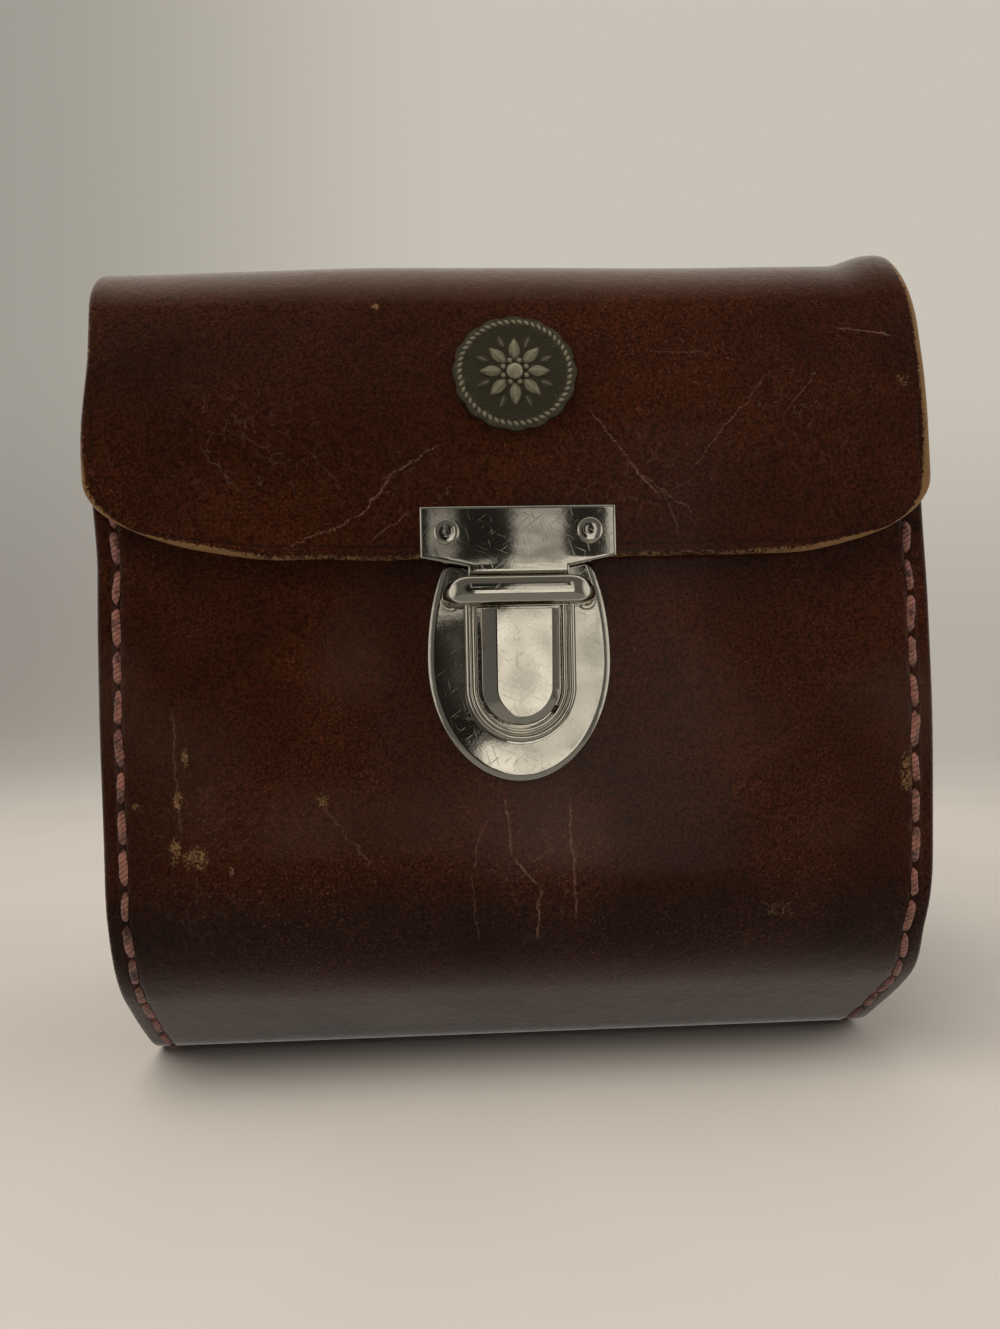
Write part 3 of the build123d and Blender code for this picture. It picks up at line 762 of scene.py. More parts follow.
@dataclass(frozen=True)
class PileCloth:
    """Short-pile cotton velveteen: deep wine red that pales at grazing angles. The pile is drawn
    coarse enough to show."""

    name: str = "lining_velveteen"
    deep: str = "#3a1116"
    pale: str = "#5c2228"
    brushed_mm: float = 18.0
    pile_mm: float = 0.6

    def make(self) -> Material:
        """Build the material.

        Returns:
            The material.
        """
        material, tree, place = blank(self.name)
        brushed = add(tree, "TexNoise", Vector=place, Scale=per(self.brushed_mm), Detail=4.0)
        pile = add(tree, "TexNoise", Vector=place, Scale=per(self.pile_mm), Detail=3.0)
        tone = add(tree, "Mix", add(tree, "MapRange", brushed, 0.35, 0.65, **SOFT),
                   linear(self.deep), linear(self.pale), **COLOUR)
        bump = add(tree, "Bump", Height=pile, Strength=0.6, Distance=0.2 * MM)
        shader = add(tree, "BsdfPrincipled", Base_Color=tone, Roughness=0.95, Normal=bump,
                     Sheen_Weight=0.6)
        add(tree, "OutputMaterial", Surface=shader)
        return material


@dataclass(frozen=True)
class PlainSteel:
    """Bare mild steel sheet and wire, rolled and gone dull: grey with a brown bloom."""

    name: str = "dull_mild_steel"
    grey: str = "#8b8985"
    bloom_and_painted_sheen: str = "#5d5146"
    spot_mm: float = 2.5

    def make(self) -> Material:
        """Build the material.

        Returns:
            The material.
        """
        material, tree, place = blank(self.name)
        spots = add(tree, "TexNoise", Vector=place, Scale=per(self.spot_mm), Detail=5.0,
                    Roughness=0.7)
        rusty = add(tree, "MapRange", spots, 0.45, 0.65, **SOFT)
        tone = add(tree, "Mix", rusty, linear(self.grey), linear(self.bloom_and_painted_sheen), **COLOUR)
        rough = add(tree, "MapRange", rusty, 0.0, 1.0, 0.35, 0.6, **SOFT)
        shader = add(tree, "BsdfPrincipled", Base_Color=tone, Metallic=1.0, Roughness=rough)
        add(tree, "OutputMaterial", Surface=shader)
        return material


@dataclass(frozen=True)
class StudioPaper:
    """Matt seamless paper: pale warm grey, faintly clouded. Far away the camera sees a glowing tone
    in its place, with painted shade: darker low down and towards the left.
    """

    name: str = "seamless_paper"
    tone: str = "#d9d5d0"
    near: str = "#b3aca2"
    far: str = "#c8c2b7"
    left_share: float = 0.62
    cloud_mm: float = 60.0

    def make(self) -> Material:
        """Build the material.

        Returns:
            The material.
        """
        material, tree, place = blank(self.name)
        cloud = add(tree, "TexNoise", Vector=place, Scale=per(self.cloud_mm), Detail=2.0)
        shade = add(tree, "MapRange", cloud, 0.3, 0.7, 0.96, 1.0, **SOFT)
        tone = add(tree, "VectorMath", linear(self.tone)[:3], shade, operation="MULTIPLY")
        shader = add(tree, "BsdfPrincipled", Base_Color=tone, Roughness=0.9)
        x, y, z = add(tree, "SeparateXYZ", place).outputs
        away = add(tree, "VectorMath", add(tree, "CombineXYZ", x, y), operation="LENGTH")
        # painted shade on the far backdrop: darker low down, and darker towards the left by the
        # left share
        sky = add(tree, "Mix", add(tree, "MapRange", z, 0.0, 0.7, **SOFT), linear(self.near),
                  linear(self.far), **COLOUR)
        dusk = add(tree, "MapRange", x, -0.9, 0.1, self.left_share, 1.0, **SOFT)
        sky = add(tree, "VectorMath", sky, dusk, operation="MULTIPLY")
        seen = add(tree, "LightPath").outputs["Is Camera Ray"]
        share = add(tree, "Math", seen, add(tree, "MapRange", away, 0.22, 0.7, **SOFT), **TIMES)
        mixed = add(tree, "MixShader", share, shader, add(tree, "Emission", Color=sky))
        add(tree, "OutputMaterial", Surface=mixed)
        return material


# ---------------------------------------------------------------- the case's form

@dataclass(frozen=True)
class CaseForm:
    """Sizes that several pieces share, in millimetres, in the frame's axes."""

    half_width: float = 70.0
    front: float = -40.0
    flap_face: float = -43.2
    leather: float = 2.8
    seam_inset: float = 3.4
    pitch: float = 6.6
    front_rim: float = 110.0
    flap_edge: float = 93.0
    lean_from: float = 113.0
    lean_radius: float = 60.0
    lean_degrees: float = 12.0


FORM = CaseForm()


def bump(value: float, middle: float, reach: float) -> float:
    """Smooth hump that is 1 at its middle and 0 beyond its reach."""
    part = min(abs(value - middle) / reach, 1.0)
    return (1 - part * part) ** 2


def step(value: float, low: float, high: float) -> float:
    """Smooth step from 0 to 1 between two values."""
    part = min(max((value - low) / (high - low), 0.0), 1.0)
    return part * part * (3 - 2 * part)


def rounding(gap: float, radius: float) -> float:
    """How far a rounded edge has dropped at a distance from the edge."""
    short = radius - min(max(gap, 0.0), radius)
    return radius - math.sqrt(max(radius ** 2 - short ** 2, 0.0))


def settle_leather(place: Vector, _: Vector = UP) -> Vector:
    """How years of use have moved the leather from its true form: swollen, dropped and skewed.

    Args:
        place: a point of the true form, in metres.

    Returns:
        Where it has gone, in metres.
    """
    x, y, z = (value / MM for value in place)
    side = x / FORM.half_width
    outer = step(abs(side), 0.3, 1.0)
    if x > 0:
        x += outer * (1.7 * bump(z, 62, 60) + 2.0 * bump(z, 14, 15) - 2.3 * step(z, 132, 147))
        z += 0.25 * outer * step(z, 125, 147) + 1.9 * bump(x, 66, 8) * step(z, 126, 146)
    else:
        x -= outer * (1.0 * step(z, 118, 146) + 1.9 * step(z, 34, 4) + 0.4 * bump(z, 75, 30)
                      + 1.0 * bump(z, 110, 18))
        z -= 1.2 * outer * step(z, 125, 147)
    swell = 0.5 * bump(x, -36, 26) * bump(z, 66, 42) + 0.35 * bump(x, 38, 26) * bump(z, 58, 40)
    y -= swell * step(-y, 20, 38)
    here = Vector((x, y, z))
    rough = noise.noise(here / 27.0) * 0.35 + noise.noise(here / 11.0) * 0.12
    calm = step(max(abs(x) / 24, abs(z - 82) / 40), 0.7, 1.1)
    y -= rough * calm * step(-y, 20, 38)
    return Vector((x, y, z)) * MM


class Turn(Enum):
    """Which way a strip's path curves, seen along +X."""

    LEFT = 1
    RIGHT = -1


@dataclass(frozen=True)
class Run:
    """A straight length or an arc of a strip's path, in millimetres and degrees."""

    length: float = 0.0
    radius: float = 0.0
    angle: float = 0.0
    turn: Turn = Turn.LEFT


@dataclass
class Strip:
    """A band of leather drawn along a side profile: a row across the width, extruded and spun."""

    name: str
    start: tuple[float, float]
    heading: float
    runs: tuple[Run, ...]
    columns: tuple[float, ...]
    row: float = 1.4
    path: list[tuple[Vector, float]] = field(default_factory=list)

    def build(self) -> Object:
        """Draw the strip's outer face.

        Returns:
            The strip as a single skin whose faces point away from the path's inner side.
        """
        deselect()
        count = len(self.columns)
        bpy.ops.mesh.primitive_grid_add(x_subdivisions=count - 1, y_subdivisions=1, size=1.0)
        piece = named(self.name)
        choose(piece, Pick.POINTS, lambda co, _: co.y > 0)
        bpy.ops.mesh.delete(type="VERT")
        bpy.ops.object.mode_set(mode="OBJECT")
        y, z = self.start
        order = sorted(piece.data.vertices, key=lambda point: point.co.x)
        for point, x in zip(order, self.columns):
            point.co = Vector((x, y, z)) * MM
        take(piece)
        bpy.ops.object.mode_set(mode="EDIT")
        bpy.ops.mesh.select_mode(type="EDGE")
        bpy.ops.mesh.select_all(action="SELECT")
        self.path = [(Vector((0, y, z)) * MM, 0.0)]
        place, heading, gone = Vector((0, y, z)), self.heading, 0.0
        for run in self.runs:
            ahead = Vector((0, math.cos(heading), math.sin(heading)))
            if run.length:
                steps = max(1, round(run.length / self.row))
                move = ahead * run.length / steps
                for _ in range(steps):
                    bpy.ops.mesh.extrude_region_move(TRANSFORM_OT_translate={"value": move * MM})
                    place = place + move
                    gone += run.length / steps
                    self.path.append((place * MM, gone * MM))
                continue
            sense = run.turn.value
            centre = place + Vector((0, -ahead.z, ahead.y)) * run.radius * sense
            angle = math.radians(run.angle)
            steps = max(3, round(run.radius * angle / self.row))
            bpy.ops.mesh.spin(steps=steps, angle=-angle * sense, center=centre * MM, axis=(1, 0, 0))
            for _ in range(steps):
                turned = Matrix.Rotation(angle * sense / steps, 3, "X")
                place = centre + turned @ (place - centre)
                gone += run.radius * angle / steps
                self.path.append((place * MM, gone * MM))
            heading += angle * sense
        done(piece, outward=False)
        return piece


def faced(piece: Object, outward: Callable[[Vector], Vector]) -> None:
    """Turn an open skin over if its faces look away from the given direction."""
    votes = sum(face.normal.dot(outward(face.center)) for face in piece.data.polygons)
    if votes < 0:
        piece.data.flip_normals()


def marked(piece: Object, name: str, rule: Callable[[Vector], float]) -> None:
    """Store a number at every point of a piece for its finish to read."""
    layer = piece.data.attributes.new(name, "FLOAT", "POINT")
    layer.data.foreach_set("value", [rule(point.co) for point in piece.data.vertices])


def dense_columns(half: float, inset: float) -> tuple[float, ...]:
    """Places across a strip: close together at its edges and seams, wider between them.

    Args:
        half: half the width of the strip, in millimetres.
        inset: distance of the stitching from the edge.

    Returns:
        The places, from left to right.
    """
    edge = (0.0, 0.25, 0.6, 1.05, 1.6, 2.2, inset - 0.8, inset - 0.45, inset, inset + 0.45,
            inset + 0.8, inset + 1.6, inset + 2.8)
    inner = half - edge[-1]
    middle_count = round(2 * inner / 1.5)
    left = [-half + gap for gap in edge]
    middle = [-inner + 2 * inner * index / middle_count for index in range(1, middle_count)]
    right = [half - gap for gap in reversed(edge)]
    return (*left, *middle, *right)


@dataclass
class LeatherBody:
    """The strip that makes the front, rolled bottom and back, with its stitching channels."""

    hide: Material
    flesh: Material
    edge: Material
    groove: float = 0.55
    round_over: float = 0.9

    def profile(self) -> Strip:
        """The strip's path from the front's upper edge to the back, under the fold.

        Returns:
            The strip, not yet drawn.
        """
        return Strip("leather_body", (FORM.front, FORM.front_rim), -math.pi / 2,
                     (Run(length=70.0), Run(radius=34.0, angle=45.0), Run(length=17.627),
                      Run(radius=12.0, angle=45.0), Run(length=40.128), Run(radius=9.0, angle=90.0),
                      Run(length=116.0)),
                     dense_columns(FORM.half_width, FORM.seam_inset))

    def shape(self, place: Vector, normal: Vector) -> Vector:
        """Press the stitching channels in and round the edges over.

        Args:
            place: a point of the outer face, in metres.
            normal: its normal.

        Returns:
            Its new place.
        """
        gap = FORM.half_width - abs(place.x) / MM
        channel = self.groove * bump(gap, FORM.seam_inset, 0.95)
        rim = (FORM.front_rim - place.z / MM) if place.y < 0 else FORM.half_width
        nearest = min(gap, rim if place.y < -0.03 else gap)
        return place - normal * (channel + rounding(nearest, self.round_over)) * MM

    def build(self) -> Strip:
        """Build and dress the strip.

        Returns:
            The strip's path, for the stitches.
        """
        strip = self.profile()
        piece = strip.build()
        faced(piece, lambda place: place - Vector((place.x, 0, 0.07)))
        marked(piece, "haze", self.haze)
        marked(piece, "wear", self.wear)
        reshape(piece, self.shape)
        modify(piece, "SOLIDIFY", thickness=FORM.leather * MM, offset=-1.0, use_even_offset=True,
               material_offset=1, material_offset_rim=2)
        reshape(piece, settle_leather)
        smooth(piece, 50)
        dress(piece, [self.hide, self.flesh, self.edge], "strap_leather", "case", "body_wrap")
        return strip

    def haze(self, place: Vector) -> float:
        """Painted light at a place: above nought a painted sheen, below nought painted shade.

        Args:
            place: a point of the true form, in metres.

        Returns:
            From -1, the deepest painted shade, to 1, the strongest painted sheen.
        """
        x, y, z = (value / MM for value in place)
        # painted reflection on the rolled foot, and painted highlights in a soft patch low in the
        # middle and a smaller one at the left
        roll = 0.38 * step(z, 25, 7) * (y < 0)
        painted_sheen = 0.14 * bump(x, -2, 26) * bump(z, 42, 24)
        painted_sheen += 0.12 * bump(x, -54, 14) * bump(z, 56, 20)
        # painted sheen in soft random clouds
        cloud = 0.34 * max(noise.noise(Vector((x, y, z)) / 19), 0.0)
        # painted shade: a dark band low on the front and darker upper sides
        polish = 0.75 * bump(z, 30, 15) + 0.35 * bump(z, 100, 30) * step(abs(x), 20, 40)
        return roll + painted_sheen + cloud - polish * (y < 0)

    def wear(self, place: Vector) -> float:
        """How much the dye is rubbed at a place: most along the side edges and the rolled foot.

        Args:
            place: a point of the true form, in metres.

        Returns:
            How much, from 0 to 1.
        """
        x, _, z = (value / MM for value in place)
        gap = FORM.half_width - abs(x)
        edge = 0.3 * step(gap, 1.2, 0.1)
        flank = 0.13 * step(gap, 7.0, 1.0) * bump(z, 60 if x > 0 else 34, 26)
        foot = 0.12 * step(z, 14.0, 3.0) * step(-place.y / MM, 0, 10)
        return edge + flank + foot


@dataclass
class LeatherLid:
    """The strip that makes the fold, the top and the flap, one hide with the back."""

    hide: Material
    flesh: Material
    edge: Material
    corner_width: float = 31.0
    corner_height: float = 13.0
    round_over: float = 0.9

    def profile(self) -> Strip:
        """The strip's path from the flap's foot, over the top, to the back under the fold.

        Returns:
            The strip, not yet drawn.
        """
        return Strip("leather_lid", (FORM.flap_face, FORM.flap_edge), math.pi / 2,
                     (Run(length=0.25), Run(length=0.35), Run(length=0.45), Run(length=0.6),
                      Run(length=18.35),
                      Run(radius=FORM.lean_radius, angle=FORM.lean_degrees, turn=Turn.RIGHT),
                      Run(length=11.21), Run(radius=14.0, angle=78.0, turn=Turn.RIGHT),
                      Run(length=56.9), Run(radius=9.0, angle=90.0, turn=Turn.RIGHT),
                      Run(length=13.5)),
                     dense_columns(FORM.half_width, FORM.seam_inset))

    def rounded(self, place: Vector, _: Vector) -> Vector:
        """Draw the square corners of the flap's foot in to long elliptical ones.

        Args:
            place: a point of the square strip, in metres.

        Returns:
            Its new place.
        """
        x, y, z = (value / MM for value in place)
        across = (abs(x) - (FORM.half_width - self.corner_width)) / self.corner_width
        down = (FORM.flap_edge + self.corner_height - z) / self.corner_height
        if y > FORM.front or across <= 0 or down <= 0:
            return place
        new_across = across * math.sqrt(1 - down * down / 2)
        new_down = down * math.sqrt(1 - across * across / 2)
        x = math.copysign(FORM.half_width - self.corner_width + new_across * self.corner_width, x)
        z = FORM.flap_edge + self.corner_height - new_down * self.corner_height
        return Vector((x, y, z)) * MM

    def edge_gap(self, place: Vector) -> float:
        """Distance of a place from the nearest cut edge, on the square strip, in millimetres.

        Args:
            place: a point of the square strip, in metres.

        Returns:
            The distance.
        """
        gap = FORM.half_width - abs(place.x) / MM
        if place.y / MM < FORM.front:
            gap = min(gap, place.z / MM - FORM.flap_edge)
        return gap

    def build(self) -> None:
        """Build and dress the strip."""
        strip = self.profile()
        piece = strip.build()
        faced(piece, lambda place: place - Vector((place.x, 0, 0.1)))
        marked(piece, "haze", self.haze)
        marked(piece, "gap", lambda place: self.edge_gap(place) + 4 * step(place.z / MM, 116, 126))
        marked(piece, "wear", self.wear)
        reshape(piece, self.roll_edge)
        reshape(piece, self.rounded)
        modify(piece, "SOLIDIFY", thickness=FORM.leather * MM, offset=-1.0, use_even_offset=True,
               material_offset=1, material_offset_rim=2)
        reshape(piece, settle_leather)
        reshape(piece, self.lift)
        smooth(piece, 50)
        for material in (self.hide, self.flesh, self.edge):
            piece.data.materials.append(material)
        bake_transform(piece)
        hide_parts("lid_flap")
        LOG.info("%s bends from case to lid", piece.name)

    def haze(self, place: Vector) -> float:
        """Painted light at a place: painted sheen along the top's front, most at its left, and
        painted shade in a band across the upper front and at the flap's left.

        Args:
            place: a point of the true form, in metres.

        Returns:
            From -1, the deepest painted shade, to 1, the strongest painted sheen.
        """
        x, y, z = (value / MM for value in place)
        # painted shade: a band across the upper front and a patch at the flap's left
        polish = 0.4 * bump(z, 128, 12) + 0.3 * bump(x, -62, 20) * bump(z, 110, 30)
        # painted sheen on the top, stronger at the front and at the left
        dull = 0.95 * step(z, 134, 145) * (1 - 0.55 * step(x, 15, 60))
        return dull * (0.3 + 0.7 * step(-y, 0, 26)) - polish

    def wear(self, place: Vector) -> float:
        """How much the dye is rubbed at a place: most round the flap's corners.

        Args:
            place: a point of the true form, in metres.

        Returns:
            How much, from 0 to 1.
        """
        x, _, z = (value / MM for value in place)
        gap = self.edge_gap(place)
        corner = step(abs(x), 34, 62) * step(z, 116, 100)
        flank = step(x, 40, 60) * step(z, 98, 106)
        reach = 1.6 + corner + 0.8 * flank
        return (0.3 + 0.2 * corner + 0.24 * flank) * step(gap, reach, 0.2) + 0.08 * step(gap, 8, 1)

    def roll_edge(self, place: Vector, normal: Vector) -> Vector:
        """Round the cut edges over."""
        return place - normal * rounding(self.edge_gap(place), self.round_over) * MM

    def lift(self, place: Vector, _: Vector) -> Vector:
        """Raise the left of the flap's foot a little and let its line wander.

        Args:
            place: a point, in metres.

        Returns:
            Its new place.
        """
        x, y, z = (value / MM for value in place)
        low = step(z, 112, 94) * step(-y, 36, 40)
        z += low * (0.8 * step(-x, 25, 60) + 0.25 * noise.noise(Vector((x / 9, 3.0, 0.0))))
        return Vector((x, y, z)) * MM


@dataclass
class EndPanels:
    """The two moulded end panels with their turned-out flanges."""

    hide: Material

    def build(self) -> None:
        """Build and dress both panels."""
        for side in ("right", "left"):
            piece = resurfaced(f"{side}_gusset", f"{side}_end_panel", 0.85 * MM, 3)
            reshape(piece, self.pillow)
            reshape(piece, settle_leather)
            marked(piece, "wear", lambda place: 0.34 * step(abs(place.x) / MM, 69.0, 69.9))
            dress(piece, [self.hide], "strap_leather", "case", f"{side}_gusset")

    def pillow(self, place: Vector, _: Vector) -> Vector:
        """Let the flat of the panel swell outwards a little, as moulded leather does.

        Args:
            place: a point, in metres.

        Returns:
            Its new place.
        """
        x, y, z = (value / MM for value in place)
        inside = bump(y, 2, 32) * bump(z, 76, 60)
        flat = step(66 - abs(x), 0, 4)
        x += math.copysign((1.6 * inside + 0.25 * noise.noise(Vector((y, z, 1.0)) / 16)) * flat, x)
        return Vector((x, y, z)) * MM


@dataclass
class Seams:
    """Hand stitching down both sides: a row outside on the strip and one inside on the flange."""

    thread: Material
    length: float = 6.6
    width: float = 1.45
    height: float = 1.0
    sunk: float = 0.22
    flange: float = 2.4
    first: float = 4.0
    overrun: float = 9.5

    def stitch(self) -> Object:
        """One stitch along +Y at the origin: a round bar whose ends dive into the leather.

        Returns:
            The stitch.
        """
        deselect()
        bpy.ops.mesh.primitive_cylinder_add(vertices=8, radius=0.5 * MM, depth=MM,
                                            rotation=(math.pi / 2, 0, 0))
        piece = named("stitch")
        settle(piece)
        choose(piece, Pick.FACES, lambda _, normal: abs(normal.y) > 0.9)
        for _ in range(2):
            bpy.ops.mesh.inset(thickness=0.11 * MM, depth=0.1 * MM)
        cut(piece, ALONG_Y, (-0.3, -0.15, 0.0, 0.15, 0.3))
        done(piece)
        reach = max(point.co.y for point in piece.data.vertices)

        def bow(place: Vector, _: Vector) -> Vector:
            """Stretch to size and bend the ends down.

            Args:
                place: a point, in metres.

            Returns:
                Its new place.
            """
            along = place.y / reach
            thin = 1 - 0.3 * along ** 4
            low = -0.5 * self.height * along ** 6
            return Vector((place.x * self.width * thin, along * self.length / 2 * MM,
                           place.z * self.height * thin + low * MM))
        reshape(piece, bow)
        return piece

    def places(self, strip: Strip, out: float) -> Iterable[Matrix]:
        """Where each stitch of one row goes, as matrices for the right-hand side.

        Args:
            strip: the strip that is sewn.
            out: how far from its outer face the row lies, in millimetres.

        Returns:
            A matrix for each stitch, in order.
        """
        samples = strip.path
        first, last = self.first * MM, samples[-1][1] + self.overrun * MM
        count = round((last - first) / (FORM.pitch * MM))
        for index in range(count):
            gone = first + (last - first) * (index + 0.5) / count
            after = next((place for place in range(1, len(samples)) if samples[place][1] >= gone),
                         len(samples) - 1)
            low, high = samples[after - 1], samples[after]
            ahead = (high[0] - low[0]).normalized()
            place = low[0] + ahead * (gone - low[1])
            up = Vector((0, ahead.z, -ahead.y))
            turn = Matrix((Vector((1, 0, 0)), ahead, up)).transposed().to_4x4()
            middle = place + up * out * MM
            middle.x = (FORM.half_width - FORM.seam_inset) * MM
            wobble = math.sin(index * 2.4 + out)
            skew = Matrix.Rotation(0.09 * wobble, 4, "Z")
            worn = Matrix.Diagonal((1 + 0.12 * wobble, 0.9 + 0.1 * math.cos(index * 4.1), 1.0, 1.0))
            yield Matrix.Translation(middle) @ turn @ skew @ worn

    def fray(self, place: Vector, _: Vector) -> Vector:
        """Roughen the thread, which use has flattened and frayed."""
        return place + noise.noise_vector(place / (0.9 * MM)) * 0.19 * MM

    def grounded(self, place: Vector, _: Vector) -> Vector:
        """Flatten the stitches that the case stands on."""
        return Vector((place.x, place.y, max(place.z, 0.0)))

    def build(self, strip: Strip) -> None:
        """Copy the stitch along both seams, outside and inside.

        Args:
            strip: the strip that is sewn.
        """
        stitch = self.stitch()
        for side, sign in (("right", 1), ("left", -1)):
            pieces = []
            for out, roll in ((-self.sunk, 0.0), (self.sunk - FORM.leather - self.flange, math.pi)):
                over = Matrix.Rotation(roll, 4, "Y")
                pieces += [copied(stitch, "stitch_copy", place @ over)
                           for place in self.places(strip, out)]
            row = joined(f"{side}_stitching", pieces)
            row.data.transform(Matrix.Scale(sign, 4, Vector((1, 0, 0))))
            done(row)
            reshape(row, self.fray)
            reshape(row, settle_leather)
            reshape(row, self.grounded)
            smooth(row, 60)
            dress(row, [self.thread], "waxed_thread", "case", f"{side}_seam_thread")
        bpy.data.objects.remove(stitch)


@dataclass
class Linings:
    """The cloth inside: glued flat to the strip, the end panels and the lid."""

    cloth: Material

    def build(self) -> None:
        """Copy and dress each lining."""
        for node, body in (("body_lining", "case"), ("right_gusset_lining", "case"),
                           ("left_gusset_lining", "case"), ("lid_lining", "lid")):
            piece = taken_from(node, f"{node}_cloth")
            smooth(piece, 30)
            dress(piece, [self.cloth], "lining_cloth", body, node)


def pressed(name: str, corners: int, outline: Callable[[float], tuple[float, float]], wall: float,
            steps: Iterable[tuple[float, float]]) -> Object:
    """A pressed metal form: an outline with a wall, whose face steps in and out from its rim.

    Args:
        name: the piece's name.
        corners: number of points round the outline.
        outline: place across and up, in millimetres, for a turn in radians.
        wall: height of the wall under the first step, in millimetres.
        steps: inset and rise of each step of the face, in millimetres.

    Returns:
        The form flat on its back, with its face towards +Z.
    """
    deselect()
    bpy.ops.mesh.primitive_cylinder_add(vertices=corners, radius=1.0, depth=wall * MM)
    piece = named(name)
    piece.location.z = wall / 2 * MM
    settle(piece)

    def drawn(place: Vector, _: Vector) -> Vector:
        """Draw the round blank out to the outline."""
        x, up = outline(math.atan2(place.y, place.x))
        return Vector((x * MM, up * MM, place.z))
    reshape(piece, drawn)
    choose(piece, Pick.FACES, lambda middle, _: middle.z > wall * MM * 0.99)
    for gap, rise in steps:
        bpy.ops.mesh.inset(thickness=gap * MM, depth=rise * MM)
    return done(piece, outward=False)


def stood(piece: Object, out: float) -> Object:
    """Stand a flat form up on the front of the case, the given distance in front of it."""
    piece.data.transform(Matrix(((1, 0, 0, 0), (0, 0, -1, (FORM.front - out) * MM), (0, 1, 0, 0),
                                 (0, 0, 0, 1))))
    return piece


def shield(half: float, foot: float, top: float) -> Callable[[float], tuple[float, float]]:
    """Outline with a round foot, straight sides and a straight top.

    Args:
        half: half its width, in millimetres.
        foot: height of its lowest point.
        top: height of its top.

    Returns:
        Place across and up for a turn in radians.
    """
    def at(turn: float) -> tuple[float, float]:
        """Place on the outline for a turn."""
        x, up = half * math.cos(turn), half * math.sin(turn)
        return (x, top) if turn > -1e-6 else (x, foot + half + up)
    return at


def round_at(x: float, up: float, radius: float) -> Callable[[float], tuple[float, float]]:
    """Round outline about a place."""
    return lambda turn: (x + radius * math.cos(turn), up + radius * math.sin(turn))


@dataclass
class BodyLatch:
    """The half of the latch on the body: the egg-shaped escutcheon and the staple's bar."""

    nickel: Material
    half: float = 15.5
    middle: float = 76.0
    below: float = 20.5
    above: float = 28.0
    top: float = 92.6
    leg_x: float = 11.5
    leg_z: float = 85.9
    reach: float = 5.8
    bend: float = 3.5
    rise: float = 1.6
    leg_low: float = 0.3

    def bar(self) -> Object:
        """The staple's oval bar, bent back at both ends into round legs.

        Returns:
            The bar, on the front of the case.
        """
        straight = self.leg_x - self.bend
        arc = self.bend * math.pi / 2
        half = straight + arc + self.reach - self.bend - self.leg_low
        deselect()
        bpy.ops.mesh.primitive_cylinder_add(vertices=32, radius=MM, depth=2 * half * MM,
                                            rotation=(0, math.pi / 2, 0))
        piece = named("staple_bar")
        settle(piece)
        cut(piece, ALONG_X, [(index / 30 - 1) * half for index in range(1, 60)])
        done(piece)

        def bent(place: Vector, _: Vector) -> Vector:
            """Bend the straight bar and draw its section from oval to round.

            Args:
                place: a point of the straight bar, in metres.

            Returns:
                Its new place.
            """
            along, up, out = (value / MM for value in place)
            gone = abs(along) - straight
            turn = min(max(gone / self.bend, 0.0), math.pi / 2)
            legs = max(gone - arc, 0.0)
            slim = step(turn, 0.5, math.pi / 2)
            deep = (1.4 - 0.1 * slim) * out
            x = straight * (gone > 0) + abs(along) * (gone <= 0)
            x += (self.bend + deep) * math.sin(turn)
            height = self.reach - self.bend - legs + (self.bend + deep) * math.cos(turn)
            level = self.leg_z + self.rise * height / self.reach + (2.25 - 0.95 * slim) * up
            return Vector((math.copysign(x, along) * MM, level * MM, height * MM))
        reshape(piece, bent)
        stood(piece, 0.0)
        smooth(piece, 50)
        return piece

    def egg(self, turn: float) -> tuple[float, float]:
        """Place on the escutcheon's outline, before its top is cut, for a turn."""
        tall = self.above if turn > 0 else self.below
        return self.half * math.cos(turn), self.middle + tall * math.sin(turn)

    def build(self) -> None:
        """Build and dress the escutcheon and the bar."""
        plate = pressed("escutcheon", 160, self.egg, 0.22,
                        ((0.08, 0.14), (0.22, 0.2), (0.5, 0.24), (0.3, 0.09), (0.25, 0.01)))
        cut(plate, ALONG_Y, [self.top], clear_outer=True, use_fill=True)
        cut(plate, ALONG_Y, range(58, 92, 3))
        cut(plate, ALONG_X, range(-13, 14, 2))
        done(plate)
        collars = [pressed("collar", 32, round_at(x, self.leg_z, 1.95), 0.45,
                           ((0.15, 0.3), (0.16, 0.3), (0.14, 0.1), (0.1, -0.06), (0.06, -0.3)))
                   for x in (-self.leg_x, self.leg_x)]
        plate = stood(joined("escutcheon", [plate, *collars]), 0.0)
        reshape(plate, beaten)
        polished(plate, 55)
        dress(plate, [self.nickel], "nickel_plate", "case", "base_plate")
        bar = self.bar()
        dress(bar, [self.nickel], "nickel_plate", "case", "staple")


def beaten(place: Vector, _: Vector) -> Vector:
    """The faint waviness of pressed and much polished sheet."""
    rough = noise.noise(place / (7 * MM)) * 0.05 + noise.noise(place / (2.6 * MM)) * 0.012
    return place + OUT * rough * MM


